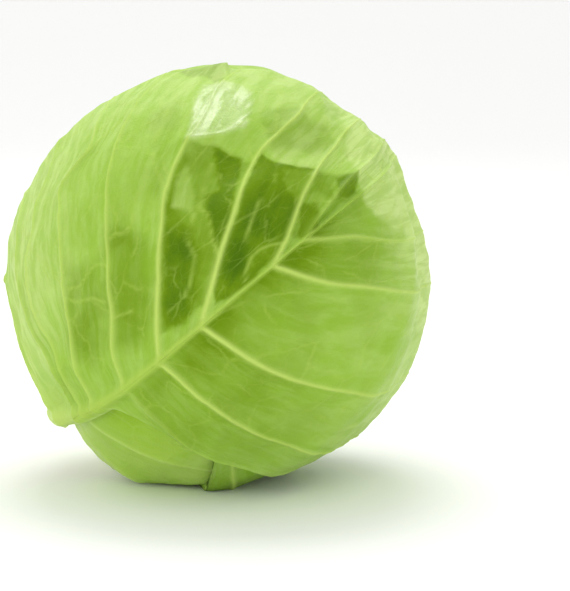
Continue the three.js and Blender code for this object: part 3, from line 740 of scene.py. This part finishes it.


# Paleness: towards the edge and the crown a leaf gets thin and light. On the front leaf its far left is
# made paler too, which is painted light.
def paleTone(leaf, g):
    share = alongLeaf(leaf, g["y"])
    outwards = smooth(g["column"], 0.45, 1.0) * 0.6
    if leaf["order"] == 0:
        outwards = np.maximum(outwards, smooth(g["number"], 7.5, 9) * smooth(g["column"], 0.35, 0.7))
        # painted light: the far left of the front leaf is made paler as if lit
        paintedLitLeft = (g["side"] < 0) * (1 - smooth(g["number"], 2.5, 5)) * smooth(g["column"], 0.15, 0.4)
        outwards = np.maximum(outwards, 0.75 * paintedLitLeft)
        farRight = (g["side"] > 0) * smooth(g["column"], 0.25, 0.8) * smooth(share, 0.6, 0.85)
        outwards = np.maximum(outwards, farRight)
        outwards = layPatches(g, outwards, frontPale)
    return outwards


# Ribs pale towards the edge, and on the front leaf the far left ones are fainter than those in the middle.
def ribStrength(leaf, g):
    strength = 1 - 0.45 * g["column"]
    if leaf["order"] == 0:
        byNumber = {1: 0.5, 3: 0.7, 4: 0.85, 5: 0.85, 6: 1.05, 7: 1.15, 8: 1, 9: 0.2}
        own = np.interp(g["number"], list(byNumber), list(byNumber.values()))
        own = np.where(g["side"] > 0, np.maximum(own, 0.6), own)
        strength = strength * own
    return strength


# 1 inside the outline of the waxy patch, 0 outside, with a rim of a millimetre or two, fading to the crown.
# The patch is glossier and gets a painted highlight laid into its colour.
def shineShape(leaf, g):
    if leaf["order"] > 0:
        return np.zeros_like(g["x"])
    upwards = smooth(np.hypot(g["x"] + 55, g["y"] - 45), 22, 46)
    return smooth(insideBy(g["x"], g["y"], frontLeaf["shine"]), -1.0, 1.6) * (1 - 0.75 * upwards)


for leaf in leaves:
    leaf["piece"] = leafPiece(leaf)
    print("leaf laid out", leaf["node"], len(leaf["piece"].data.polygons))


# Closed surface from rings: every ring goes once round, the first and last ring shrink to a point each.
def ringSurface(name, rings, attributes):
    count, around = rings.shape[:2]
    points = np.concatenate([rings[0, :1], rings[1:-1].reshape(-1, 3), rings[-1, :1]])
    index = 1 + np.arange((count - 2) * around).reshape(count - 2, around)
    after = np.roll(index, -1, axis=1)
    walls = np.stack([index[:-1], after[:-1], after[1:], index[1:]], axis=-1).reshape(-1, 4)
    first = np.stack([np.zeros(around, dtype=int), after[0], index[0]], axis=-1)
    lastPoint = len(points) - 1
    final = np.stack([index[-1], after[-1], np.full(around, lastPoint)], axis=-1)
    flat = {key: np.concatenate([v[0, :1], v[1:-1].ravel(), v[-1, :1]]) for key, v in attributes.items()}
    return buildMesh(name, points, [walls, first, final], flat)


stemFace = {
    "sides": 160,
    "ringDepth": 0.35,
    "rimRound": 1.2,
    "flutes": 0.35,
}


# The stem is a profile turned on the head's axis: a cut face that dips in faint rings, a rounded rim, a
# fluted side and the core that narrows to a blunt tip. Radius is the profile's plus a small wave in the
# angle.
def stemPiece():
    radius, end, tipEnd = stem["radius"], stem["end"], stem["coreEnd"]
    faceR = np.linspace(0, radius - stemFace["rimRound"], 26)
    faceH = end - stemFace["ringDepth"] * (0.5 + 0.5 * np.cos(faceR * 1.3)) * smooth(faceR, 0.5, 3)
    turnA = np.linspace(0, np.pi / 2, 7)[1:]
    rimR = radius - stemFace["rimRound"] * (1 - np.sin(turnA))
    rimH = end - stemFace["rimRound"] * (1 - np.cos(turnA))
    sideR = np.interp(np.linspace(0, 1, 40)[1:], [0, 0.2, 0.45, 0.8, 0.95, 1],
                      [radius, radius, radius - 1, radius - 4, radius - 8, 0])
    sideH = np.interp(np.linspace(0, 1, 40)[1:], [0, 0.2, 0.45, 0.8, 0.95, 1],
                      [end - 1.2, end - 14, end - 30, tipEnd + 14, tipEnd + 3, tipEnd])
    profileR, profileH = np.concatenate([faceR, rimR, sideR]), np.concatenate([faceH, rimH, sideH])
    angle = np.linspace(0, 2 * np.pi, stemFace["sides"], endpoint=False)
    wave = np.sin(7 * angle) * 0.5 + np.sin(13 * angle + 1) * 0.3 + np.sin(29 * angle + 2) * 0.2
    scale = smooth(profileR, radius - 3, radius)[:, None]
    ringR = profileR[:, None] - stemFace["flutes"] * (0.5 + 0.5 * wave[None, :]) * scale
    outward = np.cos(angle)[:, None] * viewerWay + np.sin(angle)[:, None] * asideWay
    rings = headCentre + ringR[..., None] * outward[None] + profileH[:, None, None] * stemWay
    share = np.broadcast_to(np.clip(profileR / radius, 0, 1)[:, None], ringR.shape)
    cut = np.broadcast_to(smooth(profileH, end - 1.5, end - 0.6)[:, None], ringR.shape)
    piece = ringSurface("fine_stem", rings, {"outwards": share, "cut": cut})
    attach(piece, "root")
    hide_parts("stem")
    return piece


heartShape = {"clearance": 1.0, "step": 1.5, "rings": 150, "around": 260, "wrinkle": 0.35}


# The heart: radius under the wrappers less a step down past the edge of each inner leaf, from the crown to
# the stem, and then the hollow that the core fills, which follows the core's profile at a small distance.
def heartPiece():
    edgeAngle = np.arcsin((stem["radius"] + 0.4) / 75.0)
    polar = np.linspace(np.pi, edgeAngle, heartShape["rings"])
    angle = np.linspace(0, 2 * np.pi, heartShape["around"], endpoint=False)
    outward = np.cos(angle)[:, None] * viewerWay + np.sin(angle)[:, None] * asideWay
    way = np.cos(polar)[:, None, None] * stemWay + np.sin(polar)[:, None, None] * outward[None]
    down = np.zeros(way.shape[:-1])
    for leaf in heartLeaves:
        down += smooth(wayToFlat(leaf, way)[2], leaf["reach"] - 2, leaf["reach"] + 2)
    radius = heartRadius(way) - pressedIn(way) - heartShape["clearance"] - heartShape["step"] * down
    wrinkle = np.sin(9 * angle)[None, :] * np.sin(5 * polar)[:, None] + np.sin(23 * angle + 1)[None, :] * 0.4
    radius = radius - heartShape["wrinkle"] * (0.7 + 0.5 * wrinkle)
    rings = headCentre + way * radius[..., None]
    lastPoint = rings[-1] - headCentre
    mouth = np.min(lastPoint @ stemWay) - 1.0
    hollowH = np.linspace(mouth, stem["coreEnd"] - 0.4, 30)
    hollowR = np.interp(hollowH,
                        [stem["coreEnd"] - 0.4, stem["coreEnd"] + 3, stem["coreEnd"] + 14, stem["end"] - 30,
                                  stem["end"] - 14],
                        [0, stem["radius"] - 7.6, stem["radius"] - 3.6, stem["radius"] - 0.6,
                         stem["radius"] + 0.4])
    hollow = headCentre + hollowH[:, None, None] * stemWay + hollowR[:, None, None] * outward[None]
    rings = np.concatenate([rings, hollow])
    step = np.concatenate([down, np.zeros((len(hollow), len(angle)))])
    piece = ringSurface("fine_heart", rings[::-1], {"step": step[::-1]})
    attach(piece, "root")
    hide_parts("heart")
    return piece


stemBody = stemPiece()
heartBody = heartPiece()
print("stem and heart laid out")


# A node tree in short calls: node(kind, settings, inputs) with an input given as a value or as (node,
# socket).
class Tree:
    def __init__(self, tree):
        self.tree = tree

    def node(self, kind, settings=None, inputs=None):
        made = self.tree.nodes.new(kind)
        for key, value in (settings or {}).items():
            setattr(made, key, value)
        for key, value in (inputs or {}).items():
            self.feed(made.inputs[key], value)
        return made

    def feed(self, socket, value):
        if isinstance(value, bpy.types.NodeSocket):
            self.tree.links.new(value, socket)
        else:
            socket.default_value = value

    def math(self, operation, a, b=0.0, clamp=False):
        made = self.node("ShaderNodeMath", {"operation": operation, "use_clamp": clamp}, {0: a, 1: b})
        return made.outputs[0]

    def ramp(self, value, low, high, bottom=0.0, top=1.0):
        made = self.node("ShaderNodeMapRange", {"interpolation_type": "SMOOTHSTEP"},
                         {"Value": value, "From Min": low, "From Max": high,
                          "To Min": bottom, "To Max": top})
        return made.outputs["Result"]

    def mix(self, share, a, b):
        made = self.node("ShaderNodeMix", {"data_type": "RGBA"}, {0: share, 6: a, 7: b})
        return made.outputs[2]

    def noise(self, vector, scale, detail=3.0, roughness=0.5, distortion=0.0):
        made = self.node("ShaderNodeTexNoise", None, {"Vector": vector, "Scale": scale, "Detail": detail,
                                                      "Roughness": roughness, "Distortion": distortion})
        return made.outputs["Fac"]

    def attribute(self, name):
        return self.node("ShaderNodeAttribute", {"attribute_name": name}).outputs["Fac"]


# sRGB 0-255 to the linear colour that a shader takes.
def colour(red, green, blue):
    c = np.array([red, green, blue]) / 255
    linear = np.where(c <= 0.04045, c / 12.92, ((c + 0.055) / 1.055) ** 2.4)
    return (*linear.tolist(), 1.0)


def makeGroup(name, inputs, outputs):
    group = bpy.data.node_groups.new(name, "ShaderNodeTree")
    for key, kind in inputs:
        group.interface.new_socket(key, in_out="INPUT", socket_type=kind)
    for key, kind in outputs:
        group.interface.new_socket(key, in_out="OUTPUT", socket_type=kind)
    tree = Tree(group)
    return group, tree, tree.node("NodeGroupInput").outputs, tree.node("NodeGroupOutput").inputs


# Fine veins between the side ribs: edges of cells on the plane of the ribs, warped by noise, in two sizes,
# and a tone of its own for each cell.
def veinNetGroup():
    group, tree, given, out = makeGroup(
        "vein_net",
        [("Plane", "NodeSocketVector"), ("Cell", "NodeSocketFloat"), ("Width", "NodeSocketFloat")],
        [("Veins", "NodeSocketFloat"), ("Fine", "NodeSocketFloat"), ("Tone", "NodeSocketFloat")])
    warp = tree.node("ShaderNodeTexNoise", None, {"Vector": given["Plane"], "Scale": 11.0, "Detail": 3.0})
    bend = tree.node("ShaderNodeVectorMath", {"operation": "MULTIPLY_ADD"},
                     {0: warp.outputs["Color"], 1: (0.07, 0.07, 0.0), 2: given["Plane"]})
    stretch = tree.node("ShaderNodeVectorMath", {"operation": "MULTIPLY"},
                        {0: bend.outputs[0], 1: (0.62, 1.0, 1.0)})
    planar = {"feature": "DISTANCE_TO_EDGE", "voronoi_dimensions": "2D"}
    coarse = tree.node("ShaderNodeTexVoronoi", planar,
                       {"Vector": stretch.outputs[0], "Scale": given["Cell"], "Randomness": 1.0})
    veins = tree.ramp(coarse.outputs["Distance"], 0.0, given["Width"], 1.0, 0.0)
    fineCell = tree.math("MULTIPLY", given["Cell"], 2.9)
    fine = tree.node("ShaderNodeTexVoronoi", planar,
                     {"Vector": bend.outputs[0], "Scale": fineCell, "Randomness": 0.9})
    fineVeins = tree.ramp(fine.outputs["Distance"], 0.0, tree.math("MULTIPLY", given["Width"], 1.5), 1.0,
                          0.0)
    cells = tree.node("ShaderNodeTexVoronoi", {"feature": "SMOOTH_F1", "voronoi_dimensions": "2D"},
                      {"Vector": stretch.outputs[0], "Scale": given["Cell"], "Smoothness": 0.25,
                       "Randomness": 1.0})
    tone = tree.node("ShaderNodeSeparateColor", None, {0: cells.outputs["Color"]})
    strength = tree.ramp(warp.outputs["Fac"], 0.36, 0.62)
    tree.feed(out["Veins"], tree.math("MULTIPLY", veins, strength))
    tree.feed(out["Fine"], tree.math("MULTIPLY", fineVeins, strength))
    tree.feed(out["Tone"], tone.outputs[0])
    return group


# Slow colour drift, small specks and a fine grain.
def mottleGroup():
    group, tree, given, out = makeGroup(
        "green_mottle",
        [("Plane", "NodeSocketVector"), ("Scale", "NodeSocketFloat")],
        [("Drift", "NodeSocketFloat"), ("Speck", "NodeSocketFloat"), ("Grain", "NodeSocketFloat")])
    drift = tree.noise(given["Plane"], given["Scale"], 4.0, 0.55, 0.3)
    grain = tree.noise(given["Plane"], tree.math("MULTIPLY", given["Scale"], 26.0), 3.0, 0.6)
    speck = tree.noise(given["Plane"], tree.math("MULTIPLY", given["Scale"], 9.0), 2.0, 0.5)
    tree.feed(out["Drift"], tree.ramp(drift, 0.3, 0.7))
    tree.feed(out["Speck"], tree.ramp(speck, 0.62, 0.75))
    tree.feed(out["Grain"], grain)
    return group


# Streaks that run along the ribs: noise on the plane of the ribs, pulled out along them.
def streakGroup():
    group, tree, given, out = makeGroup(
        "rib_streaks",
        [("Plane", "NodeSocketVector"), ("Across", "NodeSocketFloat")],
        [("Streak", "NodeSocketFloat")])
    pulled = tree.node("ShaderNodeVectorMath", {"operation": "MULTIPLY"},
                       {0: given["Plane"], 1: (2.5, 1.0, 1.0)})
    across = tree.node("ShaderNodeCombineXYZ", None, {0: 1.0, 1: given["Across"], 2: 1.0})
    scaled = tree.node("ShaderNodeVectorMath", {"operation": "MULTIPLY"},
                       {0: pulled.outputs[0], 1: across.outputs[0]})
    streak = tree.noise(scaled.outputs[0], 1.6, 4.0, 0.6, 0.4)
    tree.feed(out["Streak"], tree.ramp(streak, 0.35, 0.68))
    return group


# Small wrinkles: one fine noise, bent by itself.
def wrinkleGroup():
    group, tree, given, out = makeGroup(
        "small_wrinkles", [("Plane", "NodeSocketVector")], [("Height", "NodeSocketFloat")])
    tree.feed(out["Height"], tree.noise(given["Plane"], 42.0, 4.0, 0.65, 1.2))
    return group


veinNet, mottle, streaks, wrinkles = veinNetGroup(), mottleGroup(), streakGroup(), wrinkleGroup()

outerFinish = {
    "field": (142, 184, 52),
    "fieldLight": (164, 202, 80),
    "middle": (112, 147, 8),
    "deep": (72, 110, 0),
    "pale": (204, 228, 142),
    # near-white colour laid over the waxy patch: a painted highlight
    "paintedSheen": (212, 235, 164),
    "vein": (178, 206, 92),
    "rib": (190, 216, 106),
    "midrib": (172, 202, 84),
    "foot": (200, 224, 122),
    "edge": (158, 196, 76),
    "cell": 7.5,
    "veinWidth": 0.06,
    "roughness": 0.42,
    "shineRoughness": 0.3,
    "specular": 0.06,
    "coat": 0.05,
    "bump": 0.6,
    "subsurface": 0.1,
}
# Paler finish of the inner leaves, also given to the fourth wrapper to lighten it where it lies in shade:
# painted light.
innerAndLitFinish = dict(outerFinish, field=(160, 200, 62), fieldLight=(186, 217, 100), middle=(146, 186, 44),
                   deep=(122, 164, 26), pale=(196, 220, 134), foot=(204, 226, 146), rib=(190, 216, 118),
                   midrib=(198, 222, 130))


# Leaf: fields from deep to light green, streaks, pale veins, ribs and foot, a waxy sheen and small wrinkles.
# On the waxy patch a painted highlight is also laid into the colour.
def leafMaterial(name, finish):
    material = bpy.data.materials.new(name)
    material.use_nodes = True
    tree = Tree(material.node_tree)
    shader = material.node_tree.nodes["Principled BSDF"]
    leafPlane = tree.node("ShaderNodeUVMap", {"uv_map": "leafPlane"}).outputs["UV"]
    ribPlane = tree.node("ShaderNodeUVMap", {"uv_map": "ribPlane"}).outputs["UV"]
    net = tree.node("ShaderNodeGroup", {"node_tree": veinNet},
                    {"Plane": ribPlane, "Cell": finish["cell"], "Width": finish["veinWidth"]}).outputs
    spots = tree.node("ShaderNodeGroup", {"node_tree": mottle}, {"Plane": leafPlane, "Scale": 4.0}).outputs
    streak = tree.node("ShaderNodeGroup", {"node_tree": streaks},
                       {"Plane": ribPlane, "Across": 16.0}).outputs["Streak"]

    def lay(share, name):
        return tree.mix(share, base, colour(*finish[name]))

    light = tree.math("MULTIPLY", spots["Drift"], 0.8)
    base = tree.mix(light, colour(*finish["field"]), colour(*finish["fieldLight"]))
    base = lay(tree.math("MULTIPLY", net["Tone"], 0.2), "fieldLight")
    base = lay(tree.math("MULTIPLY", streak, 0.22), "pale")
    edged = tree.math("ADD", tree.attribute("deep"), tree.ramp(spots["Drift"], 0.0, 1.0, -0.1, 0.1))
    streaked = tree.math("MULTIPLY", tree.math("MULTIPLY", streak, 0.12), tree.attribute("deep"))
    edged = tree.math("SUBTRACT", edged, streaked)
    base = lay(tree.math("MULTIPLY", edged, 1.8, True), "middle")
    base = lay(tree.ramp(edged, 0.45, 1.05), "deep")
    pale = tree.math("MULTIPLY", tree.attribute("pale"), tree.ramp(streak, 0.0, 1.0, 0.45, 0.9))
    base = lay(pale, "pale")
    base = lay(tree.math("MULTIPLY", net["Veins"], 0.25), "vein")
    base = lay(tree.math("MULTIPLY", net["Fine"], 0.1), "vein")
    base = lay(tree.math("MULTIPLY", tree.attribute("branch"), 0.5), "vein")
    base = lay(tree.math("MULTIPLY", tree.attribute("edge"), 0.4), "edge")
    base = lay(tree.math("MULTIPLY", tree.attribute("rib"), 0.95, True), "rib")
    base = lay(tree.math("MULTIPLY", tree.attribute("midrib"), 0.85), "midrib")
    base = lay(tree.attribute("footPale"), "foot")
    # Painted highlight: near-white laid into the base colour over the waxy patch, broken up by the streaks.
    paintedSheen = tree.math("MULTIPLY", tree.attribute("shine"), tree.ramp(streak, 0.0, 0.8, 0.35, 0.85))
    base = lay(paintedSheen, "paintedSheen")
    tree.feed(shader.inputs["Base Color"], base)

    shine = tree.attribute("shine")
    waxy = tree.math("MULTIPLY", shine, tree.ramp(streak, 0.0, 1.0, 0.25, 0.8))
    tree.feed(shader.inputs["Coat Weight"], tree.ramp(waxy, 0.0, 1.0, finish["coat"], 0.85))
    shader.inputs["Coat Roughness"].default_value = 0.3
    rough = tree.ramp(spots["Grain"], 0.25, 0.75, finish["roughness"] - 0.05, finish["roughness"] + 0.07)
    glossy = tree.math("MULTIPLY", shine, finish["roughness"] - finish["shineRoughness"])
    tree.feed(shader.inputs["Roughness"], tree.math("SUBTRACT", rough, glossy))
    crumple = tree.node("ShaderNodeGroup", {"node_tree": wrinkles}, {"Plane": leafPlane}).outputs["Height"]
    height = tree.math("MULTIPLY", net["Veins"], 0.22)
    height = tree.math("ADD", height, tree.math("MULTIPLY", net["Fine"], 0.12))
    height = tree.math("ADD", height, tree.math("MULTIPLY", spots["Grain"], 0.3))
    height = tree.math("ADD", height, tree.math("MULTIPLY", streak, 0.25))
    height = tree.math("ADD", height, tree.math("MULTIPLY", crumple, tree.ramp(shine, 0.0, 1.0, 0.5, 3.0)))
    bump = tree.node("ShaderNodeBump", None,
                     {"Height": height, "Strength": finish["bump"], "Distance": 0.0008})
    tree.feed(shader.inputs["Normal"], bump.outputs["Normal"])
    shader.inputs["Specular IOR Level"].default_value = finish["specular"]
    shader.inputs["Subsurface Weight"].default_value = finish["subsurface"]
    shader.inputs["Subsurface Radius"].default_value = (0.6, 1.0, 0.25)
    shader.inputs["Subsurface Scale"].default_value = 0.003
    return material


outerLeaf = leafMaterial("outer_leaf_skin", outerFinish)
innerAndLitLeaf = leafMaterial("inner_and_lit_leaf_skin", innerAndLitFinish)
for leaf in leaves:
    # From the fourth wrapper inwards the paler finish; on the fourth wrapper it is painted light against its
    # shade.
    leaf["piece"].data.materials.append(outerLeaf if leaf["order"] < 3 else innerAndLitLeaf)

heartFinish = {"pale": (226, 236, 176), "green": (190, 214, 120), "roughness": 0.46}


def heartMaterial():
    material = bpy.data.materials.new("heart_skin")
    material.use_nodes = True
    tree = Tree(material.node_tree)
    shader = material.node_tree.nodes["Principled BSDF"]
    place = tree.node("ShaderNodeTexCoord").outputs["Object"]
    spots = tree.node("ShaderNodeGroup", {"node_tree": mottle}, {"Plane": place, "Scale": 35.0})
    tint = tree.math("MULTIPLY", spots.outputs["Drift"], 0.7)
    base = tree.mix(tint, colour(*heartFinish["pale"]), colour(*heartFinish["green"]))
    tree.feed(shader.inputs["Base Color"], base)
    dull = heartFinish["roughness"]
    rough = tree.ramp(spots.outputs["Grain"], 0.2, 0.8, dull - 0.06, dull + 0.1)
    tree.feed(shader.inputs["Roughness"], rough)
    bump = tree.node("ShaderNodeBump", None,
                     {"Height": spots.outputs["Grain"], "Strength": 0.3, "Distance": 0.0005})
    tree.feed(shader.inputs["Normal"], bump.outputs["Normal"])
    shader.inputs["Subsurface Weight"].default_value = 0.15
    shader.inputs["Subsurface Scale"].default_value = 0.004
    return material


heartBody.data.materials.append(heartMaterial())

stemFinish = {"side": (222, 228, 178), "cut": (226, 222, 186), "dried": (176, 148, 96),
              "ring": (200, 208, 140)}


# Stem: pale green side, cut face with a ring of vessels near its rim and a dry, slightly browned surface.
def stemMaterial():
    material = bpy.data.materials.new("stem_skin")
    material.use_nodes = True
    tree = Tree(material.node_tree)
    shader = material.node_tree.nodes["Principled BSDF"]
    place = tree.node("ShaderNodeTexCoord").outputs["Object"]
    spots = tree.node("ShaderNodeGroup", {"node_tree": mottle}, {"Plane": place, "Scale": 60.0})
    outwards = tree.attribute("outwards")
    nearRing = tree.math("ABSOLUTE", tree.math("SUBTRACT", outwards, 0.74))
    ring = tree.ramp(nearRing, 0.03, 0.12, 1.0, 0.0)
    dry = tree.math("MULTIPLY", spots.outputs["Drift"], 0.55)
    face = tree.mix(dry, colour(*stemFinish["cut"]), colour(*stemFinish["dried"]))
    face = tree.mix(tree.math("MULTIPLY", ring, 0.6), face, colour(*stemFinish["ring"]))
    base = tree.mix(tree.attribute("cut"), colour(*stemFinish["side"]), face)
    tree.feed(shader.inputs["Base Color"], base)
    tree.feed(shader.inputs["Roughness"], tree.ramp(spots.outputs["Grain"], 0.2, 0.8, 0.55, 0.78))
    bump = tree.node("ShaderNodeBump", None,
                     {"Height": spots.outputs["Grain"], "Strength": 0.5, "Distance": 0.0008})
    tree.feed(shader.inputs["Normal"], bump.outputs["Normal"])
    shader.inputs["Subsurface Weight"].default_value = 0.1
    shader.inputs["Subsurface Scale"].default_value = 0.003
    return material


stemBody.data.materials.append(stemMaterial())
print("materials made")

studio = {
    "floorHalf": 6.0,
    "sweepStart": 1.6,
    "sweepRadius": 1.2,
    "sweepTop": 4.0,
    "floor": (252, 252, 251),
    "sky": 0.93,
}


# Floor and backdrop in one sheet: flat, a quarter round, then straight up behind.
def makeFloor():
    turn = np.linspace(0, np.pi / 2, 25)
    radius, start, half = studio["sweepRadius"], studio["sweepStart"], studio["floorHalf"]
    away = np.concatenate([[-half], start + radius * np.sin(turn), [start + radius]])
    height = np.concatenate([[0], radius * (1 - np.cos(turn)), [studio["sweepTop"]]])
    rows = len(away)
    points = [(x, y, z) for y, z in zip(away.tolist(), height.tolist()) for x in (-half, half)]
    faces = [(2 * row, 2 * row + 1, 2 * row + 3, 2 * row + 2) for row in range(rows - 1)]
    mesh = bpy.data.meshes.new("floor")
    mesh.from_pydata(points, [], faces)
    mesh.polygons.foreach_set("use_smooth", np.ones(len(faces), dtype=bool))
    floor = bpy.data.objects.new("floor", mesh)
    bpy.context.scene.collection.objects.link(floor)
    material = bpy.data.materials.new("floor_paint")
    material.use_nodes = True
    shader = material.node_tree.nodes["Principled BSDF"]
    shader.inputs["Base Color"].default_value = colour(*studio["floor"])
    shader.inputs["Roughness"].default_value = 0.8
    mesh.materials.append(material)


# Soft square lamps: where each hangs in metres, what it faces, its size and its power.
lamps = [
    {"name": "top_softbox", "at": (-0.02, 0.43, 1.1), "facing": (0, 0, 0.1), "size": 0.62, "power": 5.1},
    {"name": "front_fill", "at": (-0.9, -1.5, 0.4), "facing": (0, 0, 0.07), "size": 1.3, "power": 3.4},
    {"name": "back_left", "at": (-1.5, 0.9, 1.2), "facing": (0, 0, 0.08), "size": 1.2, "power": 3.0},
]


def makeLamp(lamp):
    light = bpy.data.lights.new(lamp["name"], "AREA")
    light.shape = "SQUARE"
    light.size = lamp["size"]
    light.energy = lamp["power"]
    item = bpy.data.objects.new(lamp["name"], light)
    item.location = lamp["at"]
    item.rotation_euler = (Vector(lamp["facing"]) - Vector(lamp["at"])).to_track_quat("-Z", "Y").to_euler()
    bpy.context.scene.collection.objects.link(item)


makeFloor()
for lamp in lamps:
    makeLamp(lamp)
world = bpy.data.worlds.new("studio_air")
world.use_nodes = True
world.node_tree.nodes["Background"].inputs["Color"].default_value = (1, 1, 1, 1)
world.node_tree.nodes["Background"].inputs["Strength"].default_value = studio["sky"]
bpy.context.scene.world = world
bpy.context.scene.view_settings.view_transform = "Standard"

cameraData = bpy.data.cameras.new("camera")
cameraData.lens = view["lens"]
cameraData.sensor_width = view["sensor"]
cameraData.sensor_fit = "AUTO"
cameraData.shift_x, cameraData.shift_y = view["shift"]
camera = bpy.data.objects.new("camera", cameraData)
lift = np.radians(view["elevation"])
aim = Vector((0, 0, head["restHeight"] / 1000))
camera.location = aim + Vector((0, -np.cos(lift), np.sin(lift))) * view["away"] / 1000
camera.rotation_euler = (aim - camera.location).to_track_quat("-Z", "Y").to_euler()
bpy.context.scene.collection.objects.link(camera)
bpy.context.scene.camera = camera
print("studio set")
